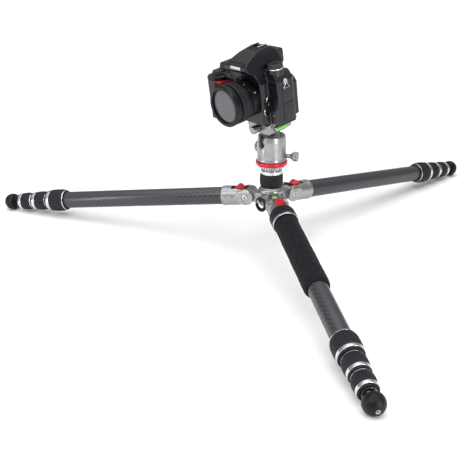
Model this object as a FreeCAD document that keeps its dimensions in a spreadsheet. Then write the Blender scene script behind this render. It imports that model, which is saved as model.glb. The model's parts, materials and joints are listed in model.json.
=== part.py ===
import FreeCAD, Part
import math
import os
import re

import Sketcher

# A stills camera on a ball head, on a four-section tripod with its legs splayed almost flat.
# The origin is on the floor under the centre column, +Z is up, and the front leg points along -Y.

V = FreeCAD.Vector
Rotation = FreeCAD.Rotation
Placement = FreeCAD.Placement

doc = FreeCAD.newDocument("camera_on_tripod")

# ---------------------------------------------------------------- driving dimensions, mm and degrees
DIMENSIONS = {
    "tube_radius": 16.0,
    "tube_wall": 1.5,
    "tube_gap": 0.3,
    "running_gap": 0.05,
    "side_gap": 0.2,
    "pivot_radius": 44.5,
    "pivot_height": 86.4216,
    "leg_slope": 8.0,
    "foot_reach": 506.0,
    "foot_radius": 16.0,
    "stud_radius": 3.5,
    "socket_end": 46.0,
    "socket_start": 28.5,
    "shoulder_radius": 18.0,
    "fork_slot": 10.2,
    "eye_radius": 11.0,
    "cheek_radius": 15.0,
    "bolt_radius": 4.0,
    "bolt_head": 6.0,
    "first_lock_start": 379.0,
    "first_lock_end": 420.0,
    "first_lock_radius": 21.5,
    "second_lock_start": 420.6,
    "second_lock_end": 455.4,
    "second_lock_radius": 18.6,
    "third_lock_start": 456.0,
    "third_lock_end": 488.0,
    "third_lock_radius": 17.0,
    "catch_half_width": 7.5,
    "grip_collar_radius": 23.0,
    "grip_collar_end": 65.0,
    "grip_radius": 20.8,
    "grip_end": 258.0,
    "hub_bottom": 74.0,
    "hub_top": 109.0,
    "hub_radius": 21.8,
    "column_radius": 14.0,
    "column_bottom": 66.0,
    "column_plate": 143.0,
    "collar_radius": 20.75,
    "level_radius": 6.5,
    "level_reach": 26.0,
    "hook_ring": 10.5,
    "hook_wire": 2.0,
    "hook_reach": 25.5,
    "hook_height": 86.0,
    "head_angle": 210.0,
    "housing_radius": 25.6,
    "housing_bottom": 158.2,
    "housing_top": 204.0,
    "spindle_radius": 10.0,
    "ball_radius": 19.0,
    "ball_height": 191.0,
    "stem_radius": 7.0,
    "main_knob_angle": 105.0,
    "main_knob_height": 171.5,
    "main_knob_radius": 13.2,
    "main_knob_reach": 44.0,
    "pan_knob_angle": 335.0,
    "pan_knob_height": 166.0,
    "camera_pitch": 8.5,
    "clamp_bottom": 26.5,
    "clamp_floor": 37.0,
    "plate_top": 45.0,
    "clamp_length": 50.0,
    "jaw_knob_radius": 7.0,
    "lens_offset": -8.0,
    "lens_forward": 34.0,
    "lens_above_base": 47.0,
    "lens_length": 56.0,
    "lens_radius": 35.5,
    "filter_radius": 28.5,
    "thread_depth": 3.4,
    "glass_radius": 27.2,
    "glass_seat": 5.6,
    "lens_bore": 20.0,
    "mount_bore": 22.0,
    "ring_seat": 32.0,
    "hump_top": 77.0,
    "lid_half_width": 16.0,
    "lid_hinge": 20.0,
    "shoe_half_width": 10.8,
    "shoe_half_slot": 9.35,
    "shoe_half_mouth": 6.25,
    "mirror_top": 17.0,
    "mirror_back": 40.0,
    "button_radius": 5.0,
    "button_across": -68.0,
    "button_back": 4.0,
    "dial_radius": 14.0,
    "dial_across": 40.0,
    "dial_back": 30.0,
    "dial_seat": 46.0,
    "thumb_dial_radius": 11.0,
    "thumb_dial_across": -62.0,
    "thumb_dial_seat": 16.0,
    "plate_screw": 3.175,
    "clamp_screw": 2.0,
    "spigot_radius": 3.5,
    "vial_radius": 3.6,
    "vial_depth": 3.7,
    "main_stem": 3.0,
    "pan_stem": 2.5,
    "pin_radius": 2.0,
    "key_radius": 2.5,
}

sheet = doc.addObject("Spreadsheet::Sheet", "Dims")
for row, (alias, amount) in enumerate(DIMENSIONS.items(), start=1):
    sheet.set(f"A{row}", alias)
    sheet.set(f"B{row}", str(amount))
    sheet.setAlias(f"B{row}", alias)
doc.recompute()


def formula(text):
    """An expression on the sheet's cells, for setExpression."""
    return re.sub(r"\b[a-z][a-z_]+\b", lambda m: "Dims." + m.group(), str(text))


def size(text):
    """The number that such an expression has now."""
    return float(sheet.evalExpression(re.sub(r"Dims\.", "", formula(text))))


def bind(thing, prop, text):
    thing.setExpression(prop, formula(text))


# ---------------------------------------------------------------- ways of making a piece
count = 0


def fresh(kind):
    """A new object for a step of a piece, with a name of its own."""
    global count
    count += 1
    return doc.addObject(kind, f"step_{count}")


def plane(body, role):
    return next(f for f in body.Origin.OriginFeatures if f.Role == role)


def outlined(role, outline):
    """A body with a sketch on one of its origin planes: straight lines through the outline's corners."""
    body = fresh("PartDesign::Body")
    sketch = body.newObject("Sketcher::SketchObject", body.Name + "_outline")
    sketch.AttachmentSupport = (plane(body, role), [""])
    sketch.MapMode = "FlatFace"
    corners = [V(size(a), size(b), 0) for a, b in outline]
    total = len(corners)
    for i in range(total):
        sketch.addGeometry(Part.LineSegment(corners[i], corners[(i + 1) % total]), False)
    for i in range(total):
        sketch.addConstraint(Sketcher.Constraint("Coincident", i, 2, (i + 1) % total, 1))
    for i, (a, b) in enumerate(outline):
        for way, text in (("DistanceX", a), ("DistanceY", b)):
            made = sketch.addConstraint(Sketcher.Constraint(way, -1, 1, i, 1, size(text)))
            sketch.setExpression(f"Constraints[{made}]", formula(text))
    return body, sketch


def turned(outline):
    """A lathe-turned piece: (radius, height) corners revolved about Z."""
    body, sketch = outlined("XZ_Plane", outline)
    turn = body.newObject("PartDesign::Revolution", body.Name + "_turn")
    turn.Profile = sketch
    turn.ReferenceAxis = (sketch, ["V_Axis"])
    turn.Angle = 360
    return body


def milled(role, outline, length):
    """A piece of one section, its outline extruded both ways from the plane by half the length."""
    body, sketch = outlined(role, outline)
    pad = body.newObject("PartDesign::Pad", body.Name + "_pad")
    pad.Profile = sketch
    pad.SideType = "Symmetric"
    bind(pad, "Length", length)
    return body


def block(low, high):
    """A box between two corners, each given as three expressions."""
    box = fresh("Part::Box")
    for prop, a, b in zip(("Length", "Width", "Height"), low, high):
        bind(box, prop, f"({b}) - ({a})")
    for axis, a in zip("xyz", low):
        bind(box, f"Placement.Base.{axis}", a)
    return box


TO_AXIS = {
    "X": Rotation(V(0, 1, 0), 90),
    "Y": Rotation(V(1, 0, 0), -90),
    "-Y": Rotation(V(1, 0, 0), 90),
    "Z": Rotation(),
}


def rod(radius, start, length, axis="Z"):
    """A cylinder from a start point along an axis."""
    made = fresh("Part::Cylinder")
    bind(made, "Radius", radius)
    bind(made, "Height", length)
    made.Placement = Placement(V(0, 0, 0), TO_AXIS[axis])
    for name, text in zip("xyz", start):
        bind(made, f"Placement.Base.{name}", text)
    return made


def cone(first, second, start, length, axis="Z"):
    made = fresh("Part::Cone")
    bind(made, "Radius1", first)
    bind(made, "Radius2", second)
    bind(made, "Height", length)
    made.Placement = Placement(V(0, 0, 0), TO_AXIS[axis])
    for name, text in zip("xyz", start):
        bind(made, f"Placement.Base.{name}", text)
    return made


def ball(radius, centre):
    made = fresh("Part::Sphere")
    bind(made, "Radius", radius)
    for name, text in zip("xyz", centre):
        bind(made, f"Placement.Base.{name}", text)
    return made


def fuse(*shapes):
    made = fresh("Part::MultiFuse")
    made.Shapes = list(shapes)
    made.Refine = True
    return made


def common(*shapes):
    made = fresh("Part::MultiCommon")
    made.Shapes = list(shapes)
    return made


def cut(base, *tools):
    made = fresh("Part::Cut")
    made.Base = base
    made.Tool = tools[0] if len(tools) == 1 else fuse(*tools)
    return made


def turn_to(shape, axis):
    """Lays a piece that was turned about Z along another axis."""
    shape.Placement = Placement(V(0, 0, 0), TO_AXIS[axis])
    return shape


def moved(shape, frame):
    """The shape in another frame. A primitive's own place is bound to the sheet, so it is wrapped first."""
    if any("Placement" in path for path, _ in shape.ExpressionEngine):
        group = fresh("Part::Compound")
        group.Links = [shape]
        shape = group
    shape.Placement = frame.multiply(shape.Placement)
    return shape


nodes = {}


def node(name, shape, frame=Placement()):
    """Names a finished piece and puts it in its place."""
    nodes[name] = moved(shape, frame)
    nodes[name].Label = name


# ---------------------------------------------------------------- frames of the assemblies
def leg_frame(angle):
    """The frame of a leg: its pivot is the origin and X runs down the leg."""
    reach, height = size("pivot_radius"), size("pivot_height")
    a = math.radians(angle)
    turn = Rotation(V(0, 0, 1), angle).multiply(Rotation(V(0, 1, 0), size("leg_slope")))
    return Placement(V(reach * math.cos(a), reach * math.sin(a), height), turn)


def lifted(height):
    return Placement(V(0, 0, height), Rotation())


def spoke(angle, height=0):
    """X points away from the column at an angle."""
    return Placement(V(0, 0, height), Rotation(V(0, 0, 1), angle))


# The ball's frame: the lens looks along -Y, X is to the right as seen from in front of the lens.
lens_turn = Rotation(V(0, 0, 1), size("head_angle") + 90)
tip = Rotation(V(1, 0, 0), size("camera_pitch"))
ball_frame = Placement(V(0, 0, size("ball_height")), lens_turn.multiply(tip))
mount_centre = V(size("lens_offset"), -size("lens_forward"), size("plate_top + lens_above_base"))
camera_frame = ball_frame.multiply(Placement(mount_centre, Rotation()))

LEGS = {"front": -90, "right": 30, "left": 150}
LOCKS = ("first", "second", "third")


def tube_radius(section):
    return f"(tube_radius - {section - 1} * (tube_wall + tube_gap))"


# ---------------------------------------------------------------- legs
def shoulder():
    """The casting that the first tube is glued into, with the fork that straddles the spider's lug."""
    barrel = rod("shoulder_radius", ("8", "0", "0"), "socket_end - 8", "X")
    eye = rod("cheek_radius", ("0", "-shoulder_radius", "0"), "2 * shoulder_radius", "Y")
    web = block(("0", "-shoulder_radius", "-12"), ("14", "shoulder_radius", "12"))
    rounding = rod("shoulder_radius + 2.5", ("-20", "0", "0"), "90", "X")
    slot = block(("-20", "-fork_slot", "-25"), ("15", "fork_slot", "25"))
    socket = rod("tube_radius", ("socket_start", "0", "0"), "30", "X")
    bore = rod("bolt_radius + running_gap", ("0", "-20", "0"), "40", "Y")
    near = rod("bolt_head + 0.4", ("0", "-shoulder_radius - 1", "0"), "3.7", "Y")
    far = rod("bolt_head + 0.4", ("0", "shoulder_radius - 2.7", "0"), "3.7", "Y")
    pocket = block(("10", "-catch_half_width - 0.8", "9"), ("28", "catch_half_width + 0.8", "25"))
    solid = common(fuse(barrel, eye, web), rounding)
    return cut(solid, slot, socket, bore, near, far, pocket)


def catch():
    """The sliding catch that holds the leg's angle, with the tab that a finger pulls."""
    outline = [("4", "12"), ("15.5", "12"), ("15.5", "9.4"), ("22", "9.4"), ("22", "14"),
               ("13.2", "21"), ("10.6", "20.6"), ("5.5", "15.8"), ("4", "15")]
    return milled("XZ_Plane", outline, "2 * catch_half_width")


def tube(section):
    """One carbon tube of the leg. The last one is closed by a plug with the foot's stud."""
    outer = tube_radius(section)
    inner = f"{outer} - tube_wall"
    start = "socket_start" if section == 1 else f"{46 + 2 * section}"
    if section < 4:
        lock = LOCKS[section - 1]
        end = f"{lock}_lock_start + 0.55 * ({lock}_lock_end - {lock}_lock_start)"
        return turned([(inner, start), (outer, start), (outer, end), (inner, end)])
    end = "third_lock_end + 1"
    stud = "third_lock_end + 11"
    return turned([
        (inner, start), (outer, start), (outer, end), ("stud_radius", end),
        ("stud_radius", stud), ("0", stud), ("0", f"{end} - 8"), (inner, f"{end} - 8"),
    ])


def lock(section):
    """The twist lock round a tube's end. It grips the next tube, which slides out through it."""
    name = LOCKS[section - 1]
    start, end, wide = f"{name}_lock_start", f"{name}_lock_end", f"{name}_lock_radius"
    step = f"{start} + 0.55 * ({end} - {start}) + 0.5"
    over = f"{tube_radius(section)} + running_gap"
    grip = f"{tube_radius(section + 1)} + running_gap"
    return turned([
        (over, start), (f"{wide} - 2.2", start), (f"{wide} - 1.6", f"{start} + 2.5"),
        (wide, f"{start} + 9"), (wide, f"{end} - 16"), (f"{wide} - 1.2", f"{end} - 8.5"),
        (f"{wide} - 1.2", f"{end} - 3"), (f"{wide} - 2.4", f"{end} - 2"), (f"{wide} - 2.4", end),
        (grip, end), (grip, step), (over, step),
    ])


def foot():
    """The round rubber foot, screwed on the last tube's stud."""
    bulb = ball("foot_radius", ("foot_reach", "0", "0"))
    neck = cone("8.5", "15", ("third_lock_end + 6.5", "0", "0"), "7", "X")
    stud = rod("stud_radius", ("third_lock_end", "0", "0"), "11", "X")
    hole = rod("2.2", ("foot_reach + foot_radius - 3", "0", "0"), "5", "X")
    return cut(fuse(bulb, neck), stud, hole)


for side, angle in LEGS.items():
    frame = leg_frame(angle)
    node(f"{side}_shoulder", shoulder(), frame)
    node(f"{side}_angle_catch", catch(), frame)
    node(f"{side}_foot", foot(), frame)
    for section in (1, 2, 3, 4):
        node(f"{side}_tube_{section}", turn_to(tube(section), "X"), frame)
    for section in (1, 2, 3):
        node(f"{side}_lock_{section}", turn_to(lock(section), "X"), frame)

# The front leg unscrews to serve as a monopod: it has the foam grip and the collar that holds it.
front = leg_frame(LEGS["front"])
bore = "tube_radius + running_gap"
node("grip_collar", turn_to(turned([
    (bore, "socket_end + 0.3"), ("shoulder_radius + running_gap", "socket_end + 0.3"),
    ("shoulder_radius + running_gap", "socket_end - 11"), ("grip_collar_radius - 1", "socket_end - 11"),
    ("grip_collar_radius", "socket_end - 9"), ("grip_collar_radius", "grip_collar_end - 5"),
    ("grip_collar_radius - 0.8", "grip_collar_end"), (bore, "grip_collar_end"),
]), "X"), front)
node("foam_grip", turn_to(turned([
    ("tube_radius", "grip_collar_end + 0.5"), ("grip_radius - 1", "grip_collar_end + 0.5"),
    ("grip_radius", "grip_collar_end + 3"), ("grip_radius", "grip_end - 3"),
    ("grip_radius - 2", "grip_end"), ("tube_radius", "grip_end"),
]), "X"), front)


# ---------------------------------------------------------------- spider and column
def pivot_bolts():
    """A hinge bolt through each fork and lug, with a socket in each end."""
    bolts = []
    for angle in LEGS.values():
        shank = rod("bolt_radius", ("0", "-shoulder_radius", "0"), "2 * shoulder_radius", "Y")
        head_starts = ("-shoulder_radius", "shoulder_radius - 2.4")
        heads = [rod("bolt_head", ("0", y, "0"), "2.4", "Y") for y in head_starts]
        key_starts = ("-shoulder_radius - 0.1", "shoulder_radius - 1.9")
        keys = [rod("key_radius", ("0", y, "0"), "2", "Y") for y in key_starts]
        bolts.append(moved(cut(fuse(shank, *heads), *keys), leg_frame(angle)))
    group = fresh("Part::Compound")
    group.Links = bolts
    return group


node("leg_pivot_bolts", pivot_bolts())


def spider():
    """The hub that the column passes through, with a lug for each leg."""
    hub = turned([
        ("column_radius", "hub_bottom"), ("hub_radius - 1.5", "hub_bottom"),
        ("hub_radius", "hub_bottom + 2"),
        ("hub_radius", "hub_top - 19"), ("hub_radius - 4", "hub_top - 15.5"),
        ("hub_radius - 4", "hub_top - 14"), ("hub_radius - 0.8", "hub_top - 10.5"),
        ("hub_radius", "hub_top - 7"), ("hub_radius - 0.8", "hub_top - 3"), ("hub_radius - 2.8", "hub_top"),
        ("column_radius", "hub_top"),
    ])
    solids, holes = [hub], []
    for angle in LEGS.values():
        arm = block(("12", "-fork_slot + side_gap", "-9"), ("pivot_radius", "fork_slot - side_gap", "9"))
        lug_start = ("pivot_radius", "-fork_slot + side_gap", "0")
        eye = rod("eye_radius", lug_start, "2 * (fork_slot - side_gap)", "Y")
        solids.append(moved(fuse(arm, eye), spoke(angle, size("pivot_height"))))
        hole = rod("bolt_radius", ("pivot_radius", "-20", "0"), "40", "Y")
        holes.append(moved(hole, spoke(angle, size("pivot_height"))))
    pin = fuse(
        rod("pin_radius", ("18", "0", "0"), "hook_reach - 12", "X"),
        rod("3.4", ("hook_reach + 6", "0", "0"), "1.5", "X"),
    )
    solids.append(moved(pin, spoke(size("head_angle"), size("hook_height"))))
    holes.append(rod("column_radius + running_gap", ("0", "0", "60"), "60"))
    holes.append(rod("level_radius", ("0", "-level_reach", "pivot_height + 6.5"), "10"))
    return cut(fuse(*solids), *holes)


node("spider", spider())
node("spider_level", rod("level_radius", ("0", "-level_reach", "pivot_height + 6.5"), "3.5"))


def gear_hook():
    """A spring-gate ring that hangs from a pin on the hub."""
    ring = fresh("Part::Torus")
    bind(ring, "Radius1", "hook_ring")
    bind(ring, "Radius2", "hook_wire")
    drop = size("hook_ring - hook_wire - pin_radius - running_gap")
    centre = V(size("hook_reach"), 0, -drop)
    upright = spoke(size("head_angle"), size("hook_height")).multiply(Placement(centre, TO_AXIS["X"]))
    return moved(ring, upright)


node("gear_hook", gear_hook())
node("centre_column", turned([
    ("0", "column_bottom - 4"), ("4", "column_bottom - 4"), ("4", "column_bottom + 3"),
    ("column_radius - 1", "column_bottom + 3"), ("column_radius", "column_bottom + 4"),
    ("column_radius", "column_plate - 2.6"), ("16.5", "column_plate - 2.6"), ("16.5", "column_plate"),
    ("0", "column_plate"),
]))
node("column_collar", turned([
    ("column_radius + running_gap", "hub_top + 0.3"), ("collar_radius - 2.2", "hub_top + 0.3"),
    ("collar_radius", "hub_top + 5"), ("collar_radius", "hub_top + 20"),
    ("collar_radius - 1.5", "hub_top + 25"), ("collar_radius - 1.5", "hub_top + 30"),
    ("collar_radius - 2.5", "column_plate - 3"),
    ("column_radius + running_gap", "column_plate - 3"),
]))

# ---------------------------------------------------------------- ball head
node("head_base", turned([
    ("0", "column_plate"), ("20", "column_plate"), ("20", "column_plate + 1"), ("23", "column_plate + 2.2"),
    ("24", "column_plate + 7"), ("20", "column_plate + 7"),
    ("20", "housing_bottom - 0.7"), ("spindle_radius", "housing_bottom - 0.7"),
    ("spindle_radius", "housing_bottom + 10"), ("0", "housing_bottom + 10"),
]))
node("pan_ring", turned([
    ("20", "column_plate + 7"), ("27.2", "column_plate + 7"), ("28.2", "column_plate + 8.5"),
    ("28.2", "housing_bottom - 2"), ("27.2", "housing_bottom - 0.4"), ("20", "housing_bottom - 0.4"),
]))


def ball_housing():
    """The cylinder that holds the ball, with the drop slot, the knobs' bosses and the pan bearing."""
    shell = turned([
        ("0", "housing_bottom"), ("housing_radius + 0.6", "housing_bottom"),
        ("housing_radius + 0.6", "housing_bottom + 2.5"), ("housing_radius", "housing_bottom + 4"),
        ("housing_radius - 0.4", "housing_top - 10"), ("housing_radius - 1.6", "housing_top - 1.5"),
        ("housing_radius - 3", "housing_top"), ("0", "housing_top"),
    ])
    main_side = spoke(size("main_knob_angle"), size("main_knob_height"))
    pan_side = spoke(size("pan_knob_angle"), size("pan_knob_height"))
    boss = moved(rod("9", ("18", "0", "0"), "housing_radius - 16.5", "X"), main_side)
    cavity = ball("ball_radius + running_gap", ("0", "0", "ball_height"))
    spindle = rod("spindle_radius + running_gap", ("0", "0", "housing_bottom - 1"), "11.3")
    mouth = cone("17.2", "20", ("0", "0", "housing_top - 3.2"), "3.6")
    trough = fuse(
        block(("0", "-stem_radius - 0.4", "0"), ("32", "stem_radius + 0.4", "20")),
        rod("stem_radius + 0.4", ("0", "0", "0"), "32", "X"),
    )
    slot = moved(trough, spoke(size("head_angle"), size("ball_height")))
    main_hole = moved(rod("main_stem + running_gap", ("20", "0", "0"), "12", "X"), main_side)
    pan_hole = moved(rod("pan_stem + running_gap", ("13", "0", "0"), "16", "X"), pan_side)
    return cut(fuse(shell, boss), cavity, spindle, mouth, slot, main_hole, pan_hole)


node("ball_housing", ball_housing())
node("main_knob", turn_to(turned([
    ("0", "20.5"), ("main_stem", "20.5"), ("main_stem", "housing_radius + 2.2"),
    ("7", "housing_radius + 2.2"),
    ("8", "housing_radius + 4"), ("main_knob_radius - 0.7", "housing_radius + 7"),
    ("main_knob_radius", "housing_radius + 9"), ("main_knob_radius", "main_knob_reach - 2"),
    ("main_knob_radius - 1.5", "main_knob_reach"), ("0", "main_knob_reach"),
]), "X"), spoke(size("main_knob_angle"), size("main_knob_height")))
node("pan_knob", turn_to(turned([
    ("0", "14"), ("pan_stem", "14"), ("pan_stem", "housing_radius + 0.6"), ("4.5", "housing_radius + 0.6"),
    ("3.6", "housing_radius + 5"), ("4.2", "housing_radius + 9"), ("8.2", "housing_radius + 13"),
    ("8.6", "housing_radius + 20"), ("7.6", "housing_radius + 22"), ("0", "housing_radius + 22"),
]), "X"), spoke(size("pan_knob_angle"), size("pan_knob_height")))
node("ball_stem", fuse(
    ball("ball_radius", ("0", "0", "0")),
    rod("stem_radius", ("0", "0", "10"), "clamp_bottom - 10.1"),
    rod("spigot_radius", ("0", "0", "20"), "clamp_bottom - 15"),
), ball_frame)


def vial():
    """The spirit level's glass, which lies along the end of the clamp."""
    return rod("vial_radius", ("clamp_length / 2 + 3.8", "-14", "clamp_floor - vial_depth"), "22", "Y")


def clamp_body():
    """The fixed half of the dovetail clamp, with the level's trough at one end."""
    base = milled("YZ_Plane", [
        ("-12", "clamp_bottom"), ("27", "clamp_bottom"), ("27", "clamp_floor + 4.5"),
        ("25.5", "clamp_floor + 5.9"), ("15.9", "clamp_floor + 5.9"), ("15.9", "clamp_floor + 5.4"),
        ("19.4", "clamp_floor + 1.9"), ("19.4", "clamp_floor"), ("-12", "clamp_floor"),
    ], "clamp_length")
    arm = block(
        ("clamp_length / 2 - 1", "-12", "clamp_bottom + 2"),
        ("clamp_length / 2 + 6", "11", "clamp_floor - 0.3"),
    )
    trough = vial()
    spigot = rod("spigot_radius + running_gap", ("0", "0", "0"), "clamp_bottom + 5.2")
    screw = rod("clamp_screw + running_gap", ("0", "-13", "clamp_floor - 2.4"), "23", "Y")
    return cut(fuse(base, arm), trough, spigot, screw)


node("clamp_body", clamp_body(), ball_frame)
node("clamp_level", vial(), ball_frame)
node("clamp_jaw", cut(
    milled("YZ_Plane", [
        ("-12.3", "clamp_bottom"), ("-12.3", "clamp_floor"), ("-19.4", "clamp_floor"),
        ("-19.4", "clamp_floor + 1.9"), ("-15.9", "clamp_floor + 5.4"), ("-15.9", "clamp_floor + 5.9"),
        ("-25.5", "clamp_floor + 5.9"), ("-27", "clamp_floor + 4.5"), ("-27", "clamp_bottom"),
    ], "clamp_length"),
    rod("clamp_screw + running_gap", ("0", "-28", "clamp_floor - 2.4"), "18", "Y"),
), ball_frame)
node("clamp_knob", turn_to(turned([
    ("0", "-9"), ("clamp_screw", "-9"), ("clamp_screw", "27.3"),
    ("jaw_knob_radius - 1.5", "27.3"), ("jaw_knob_radius", "29"),
    ("jaw_knob_radius", "41"), ("jaw_knob_radius - 1", "42"), ("0", "42"),
]), "-Y"), ball_frame.multiply(Placement(V(0, 0, size("clamp_floor - 2.4")), Rotation())))
node("quick_plate", fuse(
    milled("YZ_Plane", [
        ("-19", "clamp_floor + 0.2"), ("19", "clamp_floor + 0.2"), ("19", "clamp_floor + 1.7"),
        ("15.5", "clamp_floor + 5.2"), ("15.5", "plate_top - 1.8"), ("19.5", "plate_top - 1.8"),
        ("19.5", "plate_top"), ("-19.5", "plate_top"), ("-19.5", "plate_top - 1.8"),
        ("-15.5", "plate_top - 1.8"), ("-15.5", "clamp_floor + 5.2"), ("-19", "clamp_floor + 1.7"),
    ], "52"),
    rod("plate_screw", ("lens_offset", "0", "plate_top - 2"), "7.5"),
), ball_frame)


# ---------------------------------------------------------------- camera
def hump():
    """The prism hump: its side outline and its front outline, with the accessory shoe's rails on top."""
    side = milled("YZ_Plane", [
        ("-3", "26"), ("-9", "44"), ("-20", "51"), ("-21", "58"), ("-14", "64"), ("8", "73.5"),
        ("24", "hump_top"), ("46", "hump_top"), ("56", "66"), ("58", "50"), ("56", "26"),
    ], "80")
    front = milled("XZ_Plane", [
        ("-38", "26"), ("37", "26"), ("28", "52"), ("20", "70"), ("15", "hump_top + 1"),
        ("-15", "hump_top + 1"), ("-20", "70"), ("-28", "52"),
    ], "160")
    rails = block(("-shoe_half_width", "24", "hump_top - 1"), ("shoe_half_width", "44", "hump_top + 3.2"))
    slot = block(("-shoe_half_slot", "25.5", "hump_top"), ("shoe_half_slot", "45", "hump_top + 2.1"))
    mouth = block(("-shoe_half_mouth", "25.5", "hump_top + 2"), ("shoe_half_mouth", "45", "hump_top + 4"))
    return cut(fuse(common(side, front), rails), slot, mouth)


def lid_room(half_width, gap):
    """The space of the flash head: everything above a sloping floor, forward of its hinge."""
    return milled("YZ_Plane", [
        ("-30", f"51 - {gap}"), ("-30", "90"), (f"lid_hinge + {gap}", "90"),
        (f"lid_hinge + {gap}", f"67 - {gap}"),
    ], f"2 * ({half_width})")


def camera_solid():
    """The camera's outer shape: box of the mirror chamber, grip, shoulders, prism hump and eyepiece."""
    outline = [
        ("58", "49"), ("51", "58"), ("-78", "58"), ("-86", "50"), ("-88", "10"), ("-86", "-12"),
        ("-79", "-20"),
        ("-62", "-20"), ("-54", "-10"), ("-48", "10"), ("-40", "14"), ("58", "14"),
    ]
    low = milled("XY_Plane", outline, "76")
    low = moved(low, lifted(-9))
    chamber = milled("XY_Plane", [
        ("36", "20"), ("34", "6"), ("29", "1"), ("-29", "1"), ("-34", "6"), ("-38", "20"),
    ], "82")
    chamber = moved(chamber, lifted(-6))
    right_top = milled("YZ_Plane", [
        ("-4", "27"), ("-4", "34"), ("13", "34"), ("15.5", "42"), ("45", "42"), ("52", "36"), ("52", "27"),
    ], "52")
    right_top = moved(right_top, Placement(V(-58, 0, 0), Rotation()))
    left_top = milled("XZ_Plane", [
        ("28", "27"), ("28", "42"), ("49", "42"), ("57", "32"), ("57", "27"),
    ], "36")
    left_top = moved(left_top, Placement(V(0, 33, 0), Rotation()))
    tower = rod("dial_radius + 0.8", ("dial_across", "dial_back", "30"), "dial_seat - 30")
    eyepiece = block(("-17", "40", "42"), ("17", "72", "66"))
    return fuse(low, chamber, right_top, left_top, tower, hump(), eyepiece)


def camera_body():
    lid_bay = lid_room("lid_half_width + 0.3", "0.3")
    mirror_room = block(("-21", "5", "-17"), ("21", "mirror_back + 4", "20"))
    mount = rod("mount_bore", ("0", "10", "0"), "12", "-Y")
    sensor_bay = block(("-20", "mirror_back + 3.9", "-14"), ("20", "50", "14"))
    button = rod("button_radius + 0.1", ("button_across", "button_back", "20"), "20")
    dial = rod("dial_radius + 0.3", ("dial_across", "dial_back", "dial_seat"), "10")
    pin = rod("main_stem + 0.1", ("dial_across", "dial_back", "dial_seat - 7"), "20")
    thumb = rod("thumb_dial_radius + 0.3", ("thumb_dial_across", "58", "thumb_dial_seat - 0.3"), "6.6")
    socket = rod("plate_screw", ("0", "lens_forward", "-lens_above_base - 1"), "6.5")
    lens_room = rod("lens_radius - 1", ("0", "0", "0"), "30", "-Y")
    holes = (lid_bay, mirror_room, mount, sensor_bay, button, dial, pin, thumb, socket, lens_room)
    return cut(camera_solid(), *holes)


def popup_flash():
    """The flash head that closes flush with the front of the prism hump."""
    return common(hump(), lid_room("lid_half_width", "0"))


node("camera_body", camera_body(), camera_frame)
node("popup_flash", popup_flash(), camera_frame)
node("camera_back", cut(
    milled("XZ_Plane", [
        ("43", "-45"), ("49", "-40"), ("50", "16"), ("43", "25"), ("35", "28"),
        ("-50", "28"), ("-72", "24"), ("-77", "18"), ("-77", "-42"), ("-74", "-45"),
    ], "9"),
    rod("thumb_dial_radius + 0.3", ("thumb_dial_across", "-4.5", "thumb_dial_seat - 0.3"), "6.6"),
), camera_frame.multiply(Placement(V(0, 62.5, 0), Rotation())))
node("image_sensor", block(("-19.9", "46.5", "-13.9"), ("19.9", "49.9", "13.9")), camera_frame)


def reflex_mirror():
    """The viewing mirror, hung from its top rear edge at 45 degrees across the light path."""
    return block(("-19", "-34", "-1.5"), ("19", "0", "0"))


mirror_pivot = Placement(V(0, size("mirror_back"), size("mirror_top")), Rotation(V(1, 0, 0), 45))
node("reflex_mirror", reflex_mirror(), camera_frame.multiply(mirror_pivot))
node("lens_barrel", turn_to(turned([
    ("lens_bore", "-1"), ("mount_bore - 0.1", "-1"), ("mount_bore - 0.1", "0"), ("31", "0.2"),
    ("32.5", "2"), ("32.5", "17"),
    ("34", "22"), ("34", "26"), ("ring_seat", "26"), ("ring_seat", "42"),
    ("ring_seat + 1", "42"),
    ("lens_radius - 1", "lens_length - 12"), ("lens_radius", "lens_length - 9"),
    ("lens_radius", "lens_length - 2"), ("lens_radius - 2", "lens_length"),
    ("filter_radius", "lens_length"), ("filter_radius", "lens_length - thread_depth"),
    ("glass_radius + 0.1", "lens_length - thread_depth"),
    ("glass_radius + 0.1", "lens_length - glass_seat"),
    ("lens_bore", "lens_length - glass_seat"),
]), "-Y"), camera_frame)
node("focus_ring", turn_to(turned([
    ("ring_seat + running_gap", "26.3"), ("34.4", "26.3"), ("35.4", "28"), ("35.4", "39.5"),
    ("34.4", "41.7"), ("ring_seat + running_gap", "41.7"),
]), "-Y"), camera_frame)


def lens_elements():
    """The filter glass at the front, and the groups behind it."""
    glasses = [rod("glass_radius", ("0", "-lens_length + glass_seat", "0"), "2", "-Y")]
    for front_face, thickness in ((44, 8), (28, 5), (18, 5), (5, 5)):
        glasses.append(rod("lens_bore", ("0", f"{-front_face}", "0"), str(thickness), "Y"))
    group = fresh("Part::Compound")
    group.Links = glasses
    return group


node("lens_elements", lens_elements(), camera_frame)
node("shutter_button", rod("button_radius", ("button_across", "button_back", "30"), "6"), camera_frame)
dial_centre = V(size("dial_across"), size("dial_back"), size("dial_seat"))
node("release_dial", turned([
    ("0", "-6"), ("main_stem", "-6"), ("main_stem", "0.3"), ("dial_radius", "0.3"), ("dial_radius", "8"),
    ("dial_radius - 1.5", "10"), ("0", "10"),
]), camera_frame.multiply(Placement(dial_centre, Rotation())))
thumb_dial_seat = ("thumb_dial_across", "58", "thumb_dial_seat")
node("rear_command_dial", rod("thumb_dial_radius", thumb_dial_seat, "6"), camera_frame)

# ---------------------------------------------------------------- check and write
doc.recompute()
for thing in doc.Objects:
    if "Invalid" in thing.State or "Error" in thing.State:
        raise RuntimeError(f"{thing.Label} ({thing.Name}) failed: {thing.State}")
os.makedirs("parts", exist_ok=True)
for name, thing in nodes.items():
    shape = thing.Shape
    if shape.isNull() or not shape.isValid():
        raise RuntimeError(f"{name} has no valid shape")
    shape.exportStep(f"parts/{name}.step")
print(len(nodes), "nodes written")
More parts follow.
